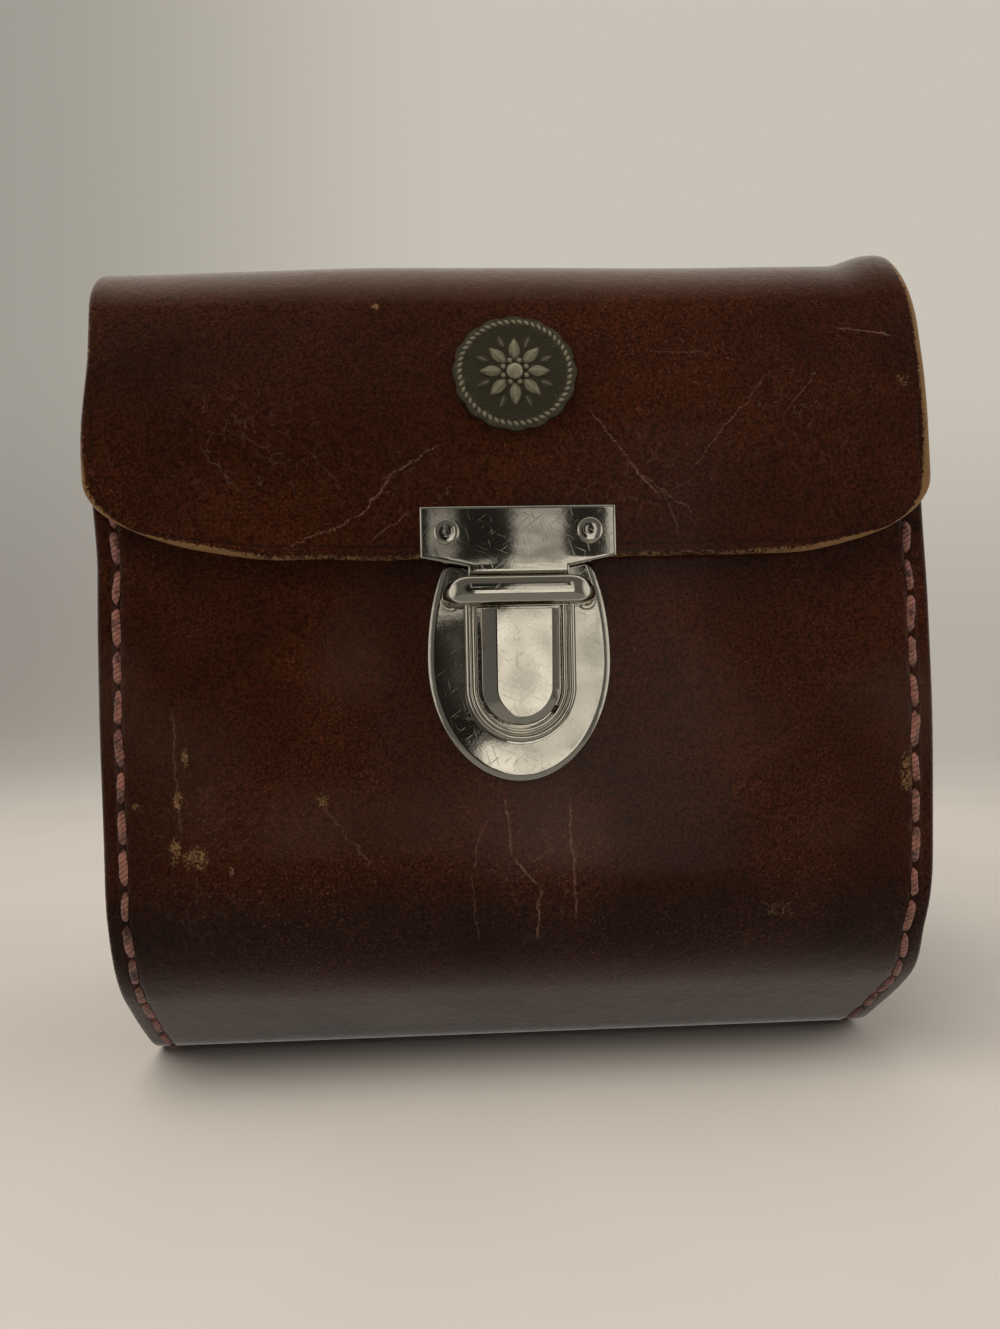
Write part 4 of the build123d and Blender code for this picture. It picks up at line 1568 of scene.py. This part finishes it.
@dataclass
class LidLatch:
    """The half of the latch on the lid: hasp plate, tongue frame and rivets in one pressing."""

    nickel: Material
    half: float = 16.15
    top: float = 101.4
    foot: float = 93.0
    shoulder: float = 91.5
    neck_half: float = 8.35
    neck_foot: float = 85.0
    face: float = 3.2
    drop: float = 1.6
    rivet_x: float = 11.8
    rivet_height: float = 97.2

    def blank(self) -> Object:
        """The hasp plate's blank: a flat sheet with its neck, rim turned over and neck set back.

        Returns:
            The blank, on the front of the case.
        """
        corners = ((self.half, self.top), (-self.half, self.top), (-self.half, self.foot),
                   (-self.neck_half, self.shoulder), (-self.neck_half, self.neck_foot),
                   (self.neck_half, self.neck_foot), (self.neck_half, self.shoulder),
                   (self.half, self.foot))

        def outline(turn: float) -> tuple[float, float]:
            """The corner that a turn of the round blank becomes."""
            return corners[round(turn / (math.pi / 4)) % 8]
        plate = pressed("hasp_plate_face", 8, outline, 0.62,
                        ((0.1, 0.12), (0.22, 0.14), (0.2, 0.03)))
        cut(plate, ALONG_Y, (99, 97, 95, 93.2, 92, 91.1, 90.4, 89.7, 89.0, 88.3, 87.6))
        cut(plate, ALONG_X, (-14, -10.5, -7, -3.5, 0, 3.5, 7, 10.5, 14))
        done(plate)

        def set_back(place: Vector, _: Vector) -> Vector:
            """Step the neck back to the tongue and crown the plate a little."""
            back = self.drop * step(place.y / MM, 91.2, 87.6)
            crown = 0.12 * bump(place.x / MM, 0, 17) * step(place.y / MM, 92, 94)
            return place - Vector((0, 0, back - crown)) * MM
        reshape(plate, set_back)
        return stood(plate, self.face)

    def frame(self) -> Object:
        """The tongue's frame: a bead, a channel and an inner lip round a deep well.

        Returns:
            The frame, on the front of the case.
        """
        rail = ((0.1, 0.5), (0.16, 0.36), (0.24, 0.26), (0.3, 0.1), (0.26, -0.02), (0.2, -0.16),
                (0.12, -0.34), (0.1, -0.06), (0.22, 0.0), (0.12, 0.22), (0.16, 0.1), (0.2, -0.02),
                (0.1, -0.16), (0.02, -1.8))
        piece = pressed("tongue_frame", 96, shield(9.3, 62.35, 87.2), 1.1, rail)
        return stood(piece, 1.6)

    def heads(self) -> list[Object]:
        """The two rivet heads, each a low button in a ring pressed by the setting tool.

        Returns:
            The heads, on the front of the case.
        """
        rivets = []
        for x in (-self.rivet_x, self.rivet_x):
            head = pressed("rivet_head", 40, round_at(x, self.rivet_height, 2.15), 0.28,
                           ((0.06, 0.16), (0.18, 0.18), (0.4, 0.16), (0.55, 0.08), (0.5, 0.01)))
            rivets.append(stood(head, self.face + 0.86))
        return rivets

    def build(self) -> None:
        """Build and dress the plate with its frame, and the rivets."""
        pressing = joined("hasp_and_tongue", [self.blank(), self.frame()])
        reshape(pressing, beaten)
        polished(pressing, 40)
        dress(pressing, [self.nickel], "nickel_plate", "lid", "hasp_plate")
        rivets = joined("hasp_rivet_heads", self.heads())
        polished(rivets, 40)
        dress(rivets, [self.nickel], "nickel_plate", "lid", "hasp_rivets")
        back = softened("tongue_back_sheet", "tongue_back", 0.1)
        dress(back, [self.nickel], "nickel_plate", "lid", "tongue_back_sheet")


@dataclass
class SpringCatch:
    """The sprung catch in the tongue: three long facets that lean out under the bar."""

    nickel: Material
    steel: Material
    half: float = 6.45
    foot: float = 65.2
    top: float = 84.4
    skirt: float = 1.95
    wall: float = 1.2
    facet: float = 1.35
    proud: float = 2.6
    pivot: float = 67.8
    swing: float = math.radians(8.0)

    def build(self) -> None:
        """Build and dress the catch, its pin and its spring."""
        over = 4.0
        piece = pressed("spring_catch", 96, shield(self.half, self.foot, self.top + over),
                        self.wall, ((self.facet, 0.6),))

        def uneven(place: Vector, _: Vector) -> Vector:
            """Widen the facet at the left."""
            raised = place.z > (self.wall + 0.3) * MM
            return place + Vector((1.1 * MM * raised * step(-place.x / MM, 0, 4), 0, 0))
        reshape(piece, uneven)
        cut(piece, ALONG_Y, [self.top], clear_outer=True, use_fill=True)
        done(piece)
        modify(piece, "BEVEL", width=0.16 * MM, segments=3, limit_method="ANGLE",
               angle_limit=math.radians(12))

        def lean(place: Vector, _: Vector) -> Vector:
            """Lean the face out towards the top, and the back by the angle the catch swings.

            Args:
                place: a point of the flat catch, in metres.

            Returns:
                Its new place.
            """
            share = step(place.z / MM, 0.2, 0.6)
            front = self.proud * (place.y / MM - self.foot) / (self.top - self.foot)
            back = math.tan(self.swing) * max(place.y / MM - self.pivot, 0.0)
            return place + UP * (share * front + (1 - share) * back) * MM
        reshape(piece, lean)
        stood(piece, self.skirt)
        reshape(piece, beaten)
        polished(piece, 25)
        dress(piece, [self.nickel], "nickel_plate", "catch", "thumb_catch")
        for node, body in (("catch_pivot_pin", "lid"), ("catch_spring", "catch")):
            dress(softened(node, f"{node}_steel", 0.05), [self.steel], "plain_steel", body, node)


def softened(node: str, name: str, radius: float, sharp: float = 28.0) -> Object:
    """A copy of a metal part with its edges rounded by a small radius in millimetres.

    Args:
        node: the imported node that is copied.
        name: the new piece's name.
        radius: radius of the edges, in millimetres.
        sharp: least angle of an edge that is rounded, in degrees.

    Returns:
        The copy.
    """
    piece = taken_from(node, name)
    modify(piece, "BEVEL", width=radius * MM, segments=3, limit_method="ANGLE",
           angle_limit=math.radians(sharp), use_clamp_overlap=True)
    smooth(piece, 40)
    return piece


@dataclass
class Fixings:
    """What holds the parts on: washers, backing plate, keeper and the belt loop's rivets."""

    nickel: Material
    steel: Material

    def build(self) -> None:
        """Build and dress every fixing."""
        rivets = softened("belt_loop_rivets", "loop_rivet_heads", 0.1)
        dress(rivets, [self.nickel], "nickel_plate", "case", "belt_loop_rivets")
        for node, body in (("latch_backing_plate", "case"), ("belt_loop_washers", "case"),
                           ("hasp_washers", "lid"), ("badge_keeper", "lid")):
            dress(softened(node, f"{node}_steel", 0.05), [self.steel], "plain_steel", body, node)


@dataclass
class Medallion:
    """Cast badge on the flap: a lobed oval with a corded rim, a rosette and small leaves."""

    pewter: Material
    middle: float = 123.5
    half_width: float = 10.3
    half_height: float = 9.9
    sheet: float = 1.0
    lobes: int = 16
    cords: int = 52
    petals: int = 8

    def on_lid(self, place: Vector, _: Vector = UP) -> Vector:
        """Lay a point of the flat badge on the lid: x across, y up, z out.

        Args:
            place: a point of the flat badge, in metres.

        Returns:
            Its place on the lid.
        """
        x, up, out = (value / MM for value in place)
        height = self.middle + up
        lean, radius = math.radians(FORM.lean_degrees), FORM.lean_radius
        over = height - FORM.lean_from
        turned = math.asin(min(max(over / radius, 0.0), math.sin(lean)))
        extra = max(over - radius * math.sin(lean), 0.0)
        y = FORM.flap_face + radius * (1 - math.cos(turned)) + extra * math.tan(lean)
        normal = Vector((0, -math.cos(turned), math.sin(turned)))
        return (Vector((x, y, height)) + normal * out) * MM

    def ground(self) -> Object:
        """The lobed oval sheet, dished inside its rim.

        Returns:
            The sheet, flat, with its middle at the origin.
        """
        deselect()
        bpy.ops.mesh.primitive_cylinder_add(vertices=192, radius=MM, depth=(self.sheet + 0.3) * MM)
        piece = named("badge_ground")
        settle(piece)
        choose(piece, Pick.FACES, lambda _, normal: normal.z > 0.9)
        for gap, drop in ((0.05, 0.04), (0.08, 0.0), (0.06, -0.1), (0.2, -0.02), (0.2, 0.02),
                          (0.2, 0.03)):
            bpy.ops.mesh.inset(thickness=gap * MM, depth=drop * MM)
        done(piece)

        def lobed(place: Vector, _: Vector) -> Vector:
            """Draw the round blank out to a lobed oval, its back on the leather.

            Args:
                place: a point of the round blank, in metres.

            Returns:
                Its new place.
            """
            turn = math.atan2(place.y, place.x)
            reach = place.xy.length / MM
            lobe = 1 + 0.035 * abs(math.cos(self.lobes / 2 * turn)) * step(reach, 0.6, 1.0)
            return Vector((place.x * self.half_width * lobe * 0.965,
                           place.y * self.half_height * lobe * 0.965,
                           place.z + (self.sheet + 0.3) / 2 * MM - 0.25 * MM))
        reshape(piece, lobed)
        return piece

    def bead(self, size: tuple[float, float, float]) -> Object:
        """A small cast swelling at the origin.

        Args:
            size: its half width, half depth and height, in millimetres.

        Returns:
            The swelling.
        """
        deselect()
        bpy.ops.mesh.primitive_uv_sphere_add(segments=14, ring_count=8, radius=MM)
        piece = named("badge_bead")
        piece.scale = size
        settle(piece)
        choose(piece, Pick.POINTS, lambda co, _: co.z < -0.5 * size[2] * MM)
        bpy.ops.mesh.delete(type="VERT")
        return done(piece, outward=False)

    def leaf(self, length: float, width: float, height: float) -> Object:
        """A leaf or petal along +X with a raised vein, its root at the origin.

        Args:
            length: its length, in millimetres.
            width: its width.
            height: its height.

        Returns:
            The leaf.
        """
        piece = self.bead((length / 2, width / 2, height))

        def pointed(place: Vector, _: Vector) -> Vector:
            """Draw one end to a point and cut a groove beside the vein.

            Args:
                place: a point, in metres.

            Returns:
                Its new place.
            """
            along = place.x / (length / 2 * MM)
            slim = 1 - 0.55 * step(along, -0.1, 1.0)
            groove = 0.28 * bump(abs(place.y) / (width / 2 * MM), 0.32, 0.25)
            return Vector((place.x + length / 2 * MM, place.y * slim, place.z * (1 - groove)))
        reshape(piece, pointed)
        return piece

    def ring(self, shape: Object, count: int, reach: float, twist: float, out: float,
             half_step: bool = False) -> list[Object]:
        """Copies of a shape round an oval.

        Args:
            shape: the piece to copy.
            count: number of copies.
            reach: their distance from the middle, as a part of the badge's half width.
            twist: turn of each copy from the outward direction, in radians.
            out: height above the leather, in millimetres.
            half_step: start half a step round.

        Returns:
            The copies.
        """
        copies = []
        for index in range(count):
            turn = 2 * math.pi * (index + 0.5 * half_step) / count
            place = Vector((math.cos(turn) * self.half_width * reach,
                            math.sin(turn) * self.half_height * reach, out)) * MM
            move = Matrix.Translation(place) @ Matrix.Rotation(turn + twist, 4, "Z")
            copies.append(copied(shape, "badge_copy", move))
        bpy.data.objects.remove(shape)
        return copies

    def build(self) -> None:
        """Build and dress the badge."""
        pieces = [self.ground()]
        pieces += self.ring(self.bead((0.62, 0.34, 0.42)), self.cords, 0.885, 0.9, 0.95)
        pieces += self.ring(self.bead((0.3, 0.3, 0.3)), 32, 0.77, 0.0, 0.8)
        pieces += self.ring(self.leaf(4.6, 2.3, 0.75), self.petals, 0.16, 0.0, 0.72)
        pieces += self.ring(self.leaf(3.2, 1.5, 0.55), self.petals, 0.4, 0.0, 0.7, half_step=True)
        pieces += self.ring(self.bead((0.55, 0.55, 0.5)), self.petals, 0.2, 0.0, 0.85,
                            half_step=True)
        pieces += self.ring(self.bead((1.5, 1.5, 0.95)), 1, 0.0, 0.0, 0.85)
        badge = joined("medallion", pieces)
        marked(badge, "raised", lambda place: step(place.z / MM, 0.75, 1.6))
        reshape(badge, self.on_lid)
        smooth(badge, 50)
        dress(badge, [self.pewter], "aged_pewter", "lid", "badge")


@dataclass
class BeltLoop:
    """The strap riveted to the back for a belt."""

    hide: Material

    def build(self) -> None:
        """Build and dress the loop."""
        piece = resurfaced("belt_loop", "belt_loop_strap", 0.6 * MM, 2)
        marked(piece, "wear", lambda place: 0.3 * step(abs(place.x) / MM, 14.6, 15.9))
        dress(piece, [self.hide], "strap_leather", "case", "belt_loop")


@dataclass
class Studio:
    """Seamless paper, soft lights, the cards that the nickel mirrors, and the camera."""

    paper: Material
    camera_place: tuple[float, float, float] = (-0.00883, -0.1778, 0.07599)
    camera_turn: tuple[float, float, float] = (1.566, 0.0205, -0.0402)
    lens: float = 22.09
    room_dark: str = "#14120f"
    front_level: float = 0.008
    ring_level: float = 0.11
    room_pale: str = "#fffaf0"
    window_depth: float = 0.265
    soft: float = 0.006
    cloud_mm: float = 11.0
    paper_tone: str = "#c4bdb3"

    def floor(self) -> None:
        """A sheet of paper that lies flat and curves up behind."""
        deselect()
        bpy.ops.mesh.primitive_plane_add(size=1.0)
        piece = named("paper_floor")
        piece.scale = (6.0, 3.0, 1.0)
        piece.location = (0, -0.7, 0)
        settle(piece)
        choose(piece, Pick.EDGES, lambda middle, along: middle.y > 0.5 and abs(along.x) > 1)
        bpy.ops.mesh.spin(steps=16, angle=-math.pi / 2, center=(0, 0.8, 0.6), axis=(1, 0, 0))
        bpy.ops.mesh.extrude_region_move(TRANSFORM_OT_translate={"value": (0, 0, 2.4)})
        done(piece, outward=False)
        faced(piece, lambda place: Vector((0, 0, 1)) if place.y < 0.8 else Vector((0, -1, 0)))
        smooth(piece, 40)
        piece.data.materials.append(self.paper)
        piece.visible_glossy = False

    def light(self, name: str, place: tuple[float, float, float], size: tuple[float, float],
              power: float, tone: str) -> None:
        """A soft rectangular light aimed at the middle of the case.

        Args:
            name: the lamp's name.
            place: where it stands, in metres.
            size: its width and height, in metres.
            power: its power, in watts.
            tone: its colour, in hex.
        """
        lamp = bpy.data.lights.new(name, "AREA")
        lamp.shape = "RECTANGLE"
        lamp.size, lamp.size_y = size
        lamp.energy = power
        lamp.color = linear(tone)[:3]
        holder = bpy.data.objects.new(name, lamp)
        bpy.context.scene.collection.objects.link(holder)
        holder.location = place
        holder.visible_glossy = False
        aim = Vector((0, 0, 0.07)) - Vector(place)
        holder.rotation_euler = aim.to_track_quat("-Z", "Y").to_euler()

    def room(self) -> None:
        """A room that is dark straight ahead of the case and bright below, behind and beside it.

        The glow round the dark part is seen by gloss alone.
        """
        world = bpy.data.worlds.new("dim_room")
        bpy.context.scene.world = world
        world.use_nodes = True
        tree = world.node_tree
        x, y, z = add(tree, "SeparateXYZ", add(tree, "TexCoord").outputs["Generated"]).outputs
        behind = add(tree, "Math",
                     add(tree, "MapRange", y, -0.4, 0.1, self.front_level, 0.9, **SOFT),
                     add(tree, "MapRange", z, -0.7, -0.1, 0.5, 1.0, **SOFT), **TIMES)
        beside = add(tree, "MapRange", add(tree, "Math", x, operation="ABSOLUTE"),
                     0.75, 0.95, 0.0, 0.7, **SOFT)
        below = add(tree, "MapRange", z, -0.55, -0.4, 0.2, 0.0, **SOFT)
        around = add(tree, "Math", behind, add(tree, "Math", beside, below, **MOST), **MOST)
        path = add(tree, "LightPath").outputs
        ring = add(tree, "MapRange", y, -0.975, -0.86, 0.0, self.ring_level, **SOFT)
        glow = add(tree, "Math", path["Is Glossy Ray"], ring, **TIMES)
        around = add(tree, "Math", around, glow, **MOST)
        tone = add(tree, "Mix", around, linear(self.room_dark), linear(self.room_pale), **COLOUR)
        tone = add(tree, "Mix", path["Is Camera Ray"], tone, linear(self.paper_tone), **COLOUR)
        fill(tree, [tree.nodes["Background"].inputs["Color"]], [tone])

    def window(self, name: str, span: tuple[float, float], height: tuple[float, float],
               level: float) -> None:
        """A pale upright card with soft edges, ahead of the case, that only gloss shows.

        Args:
            name: the card's name.
            span: its left and right edges along X, in metres.
            height: its lower and upper edges.
            level: how brightly it shines.
        """
        deselect()
        bpy.ops.mesh.primitive_plane_add(size=1.0, rotation=(math.pi / 2, 0, 0))
        piece = named(name)
        wide, high = span[1] - span[0], height[1] - height[0]
        piece.scale = (wide, high, 1)
        middle = (sum(span) / 2, -self.window_depth, sum(height) / 2)
        piece.location = middle
        settle(piece)
        material, tree, place = blank(f"{name}_card")
        cloud = add(tree, "TexNoise", Vector=place, Scale=per(self.cloud_mm), Detail=4.0,
                    Roughness=0.7)
        local = add(tree, "Mapping", Vector=place, Location=middle, Scale=(wide / 2, 1, high / 2),
                    vector_type="TEXTURE")
        x, _, z = add(tree, "SeparateXYZ", local).outputs
        near = [add(tree, "MapRange", add(tree, "Math", part, operation="ABSOLUTE"),
                    1 - 2 * self.soft / size, 1.0, 1.0, 0.0, **SOFT)
                for part, size in ((x, wide), (z, high))]
        shape = add(tree, "Math", *near, **TIMES)
        shape = add(tree, "Math", shape, add(tree, "Math", cloud, 0.5, operation="SUBTRACT"),
                    **PLUS)
        shine = add(tree, "Emission", Color=linear(self.room_pale),
                    Strength=add(tree, "MapRange", cloud, 0.32, 0.66, level * 0.42, level, **SOFT))
        mixed = add(tree, "MixShader", add(tree, "MapRange", shape, 0.25, 0.6, **SOFT),
                    add(tree, "BsdfTransparent"), shine)
        add(tree, "OutputMaterial", Surface=mixed)
        piece.data.materials.append(material)
        piece.visible_camera = False
        piece.visible_diffuse = False
        piece.visible_shadow = False
        piece.visible_transmission = False

    def build(self) -> None:
        """Set the stage."""
        self.floor()
        self.window("window_middle", (0.007, 0.105), (0.032, 0.108), 0.95)
        self.window("window_low", (-0.008, 0.105), (-0.03, 0.040), 1.25)
        self.window("window_strip", (-0.034, 0.004), (0.093, 0.107), 0.7)
        self.window("window_high", (0.010, 0.040), (0.098, 0.16), 0.55)
        self.window("window_right", (0.058, 0.105), (0.1, 0.20), 0.8)
        self.window("window_left", (-0.034, -0.016), (0.108, 0.20), 0.35)
        self.window("window_faint", (-0.0165, -0.008), (0.05, 0.094), 0.11)
        self.light("key_light", (-0.4, -0.45, 1.1), (0.9, 0.9), 10.5, "#fff6ea")
        self.light("fill_light", (1.0, -0.35, 0.6), (0.9, 1.0), 4.4, "#fff9f2")
        self.room()
        lens = bpy.data.cameras.new("camera")
        lens.lens = self.lens
        lens.clip_start = 0.01
        camera = bpy.data.objects.new("camera", lens)
        bpy.context.scene.collection.objects.link(camera)
        camera.location = self.camera_place
        camera.rotation_euler = self.camera_turn
        bpy.context.scene.camera = camera
        bpy.context.scene.view_settings.view_transform = "Standard"


LID_CREASES = (
    Crease(-12, 112, -22, 106, 0.17, 0.8, 1.0), Crease(-20, 107, -27, 99, 0.2, 0.9, 1.2),
    Crease(-26, 100, -38, 95, 0.16, 0.8, 1.2), Crease(-17, 101, -25, 95.5, 0.16, 0.7, 1.0),
    Crease(-52, 112, -44, 104, 0.16, 0.5, 1.6), Crease(-47, 115, -37, 108, 0.13, 0.4, 1.6),
    Crease(-36, 113, -28, 104, 0.13, 0.4, 1.6), Crease(12, 118, 19, 109, 0.18, 0.9, 1.4),
    Crease(18, 110, 24, 102, 0.22, 0.9, 1.2), Crease(19, 108, 30, 99, 0.15, 0.7, 1.4),
    Crease(24, 104, 27, 96, 0.15, 0.6, 1.4), Crease(43, 124, 28, 106, 0.15, 0.6, 1.2),
    Crease(52, 125, 45, 116, 0.14, 0.55, 1.2), Crease(54, 132, 66, 130, 0.18, 0.9, 1.0),
    Crease(22, 128, 34, 127, 0.14, 0.5, 1.4),
)
LID_SCUFFS = (Scuff(-23, 136, 1.4, 1.4, 0.38), Scuff(66, 122, 3, 3, 0.34))
LID_CRAZED = (Scuff(-44, 112, 20, 16, 1.0), Scuff(-18, 104, 20, 12, 0.9),
              Scuff(20, 106, 22, 14, 0.9), Scuff(46, 116, 24, 14, 0.7))
BODY_CREASES = (
    Crease(-58, 70, -57, 46, 0.22, 0.5, 1.2), Crease(-3, 53, -2, 42, 0.2, 0.8, 1.0),
    Crease(-2, 43, 3, 37, 0.26, 0.9, 1.0), Crease(3, 38, 2, 27, 0.26, 0.9, 1.0),
    Crease(8, 54, 9, 30, 0.28, 0.75, 1.0), Crease(-34, 53, -25, 41, 0.18, 0.55, 1.4),
    Crease(-6, 50, -9, 40, 0.15, 0.5, 1.0), Crease(-9, 41, -8, 27, 0.15, 0.5, 1.0),
)
BODY_SCUFFS = (
    Scuff(-54.6, 44.0, 5.0, 4.8, 0.385), Scuff(-58.0, 45.5, 2.4, 5.8, 0.37),
    Scuff(-56.0, 60.8, 1.3, 4.2, 0.385), Scuff(-57.4, 54.0, 2.0, 3.4, 0.37),
    Scuff(-64.3, 53.0, 1.6, 1.6, 0.38), Scuff(66.5, 55, 3.0, 9, 0.36), Scuff(44, 32, 7, 3.5, 0.33),
    Scuff(-33.4, 53.0, 2.6, 3.6, 0.36), Scuff(-48.8, 41.7, 0.9, 2.4, 0.4),
)
BODY_CRAZED = (Scuff(4, 38, 14, 20, 0.8), Scuff(-56, 45, 12, 26, 0.8))


def main() -> None:
    """Build every part of the case in order."""
    logging.basicConfig(level=logging.INFO, format="%(name)s: %(message)s")
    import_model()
    hide = VegTanLeather("waxed_veg_tan_leather").make()
    body_hide = VegTanLeather("creased_body_leather", creases=BODY_CREASES, scuffs=BODY_SCUFFS,
                              crazed=BODY_CRAZED).make()
    lid_hide = VegTanLeather("creased_lid_leather", creases=LID_CREASES, scuffs=LID_SCUFFS,
                             crazed=LID_CRAZED).make()
    flesh = FleshSide().make()
    edge = CutEdge().make()
    strip = LeatherBody(body_hide, flesh, edge).build()
    LeatherLid(lid_hide, flesh, edge).build()
    EndPanels(hide).build()
    Seams(WaxedThread().make()).build(strip)
    Linings(PileCloth().make()).build()
    nickel = NickelPlate().make()
    steel = PlainSteel().make()
    BodyLatch(nickel).build()
    LidLatch(nickel).build()
    SpringCatch(nickel, steel).build()
    Fixings(nickel, steel).build()
    Medallion(AgedPewter().make()).build()
    BeltLoop(hide).build()
    Studio(StudioPaper().make()).build()


if __name__ == "__main__":
    main()
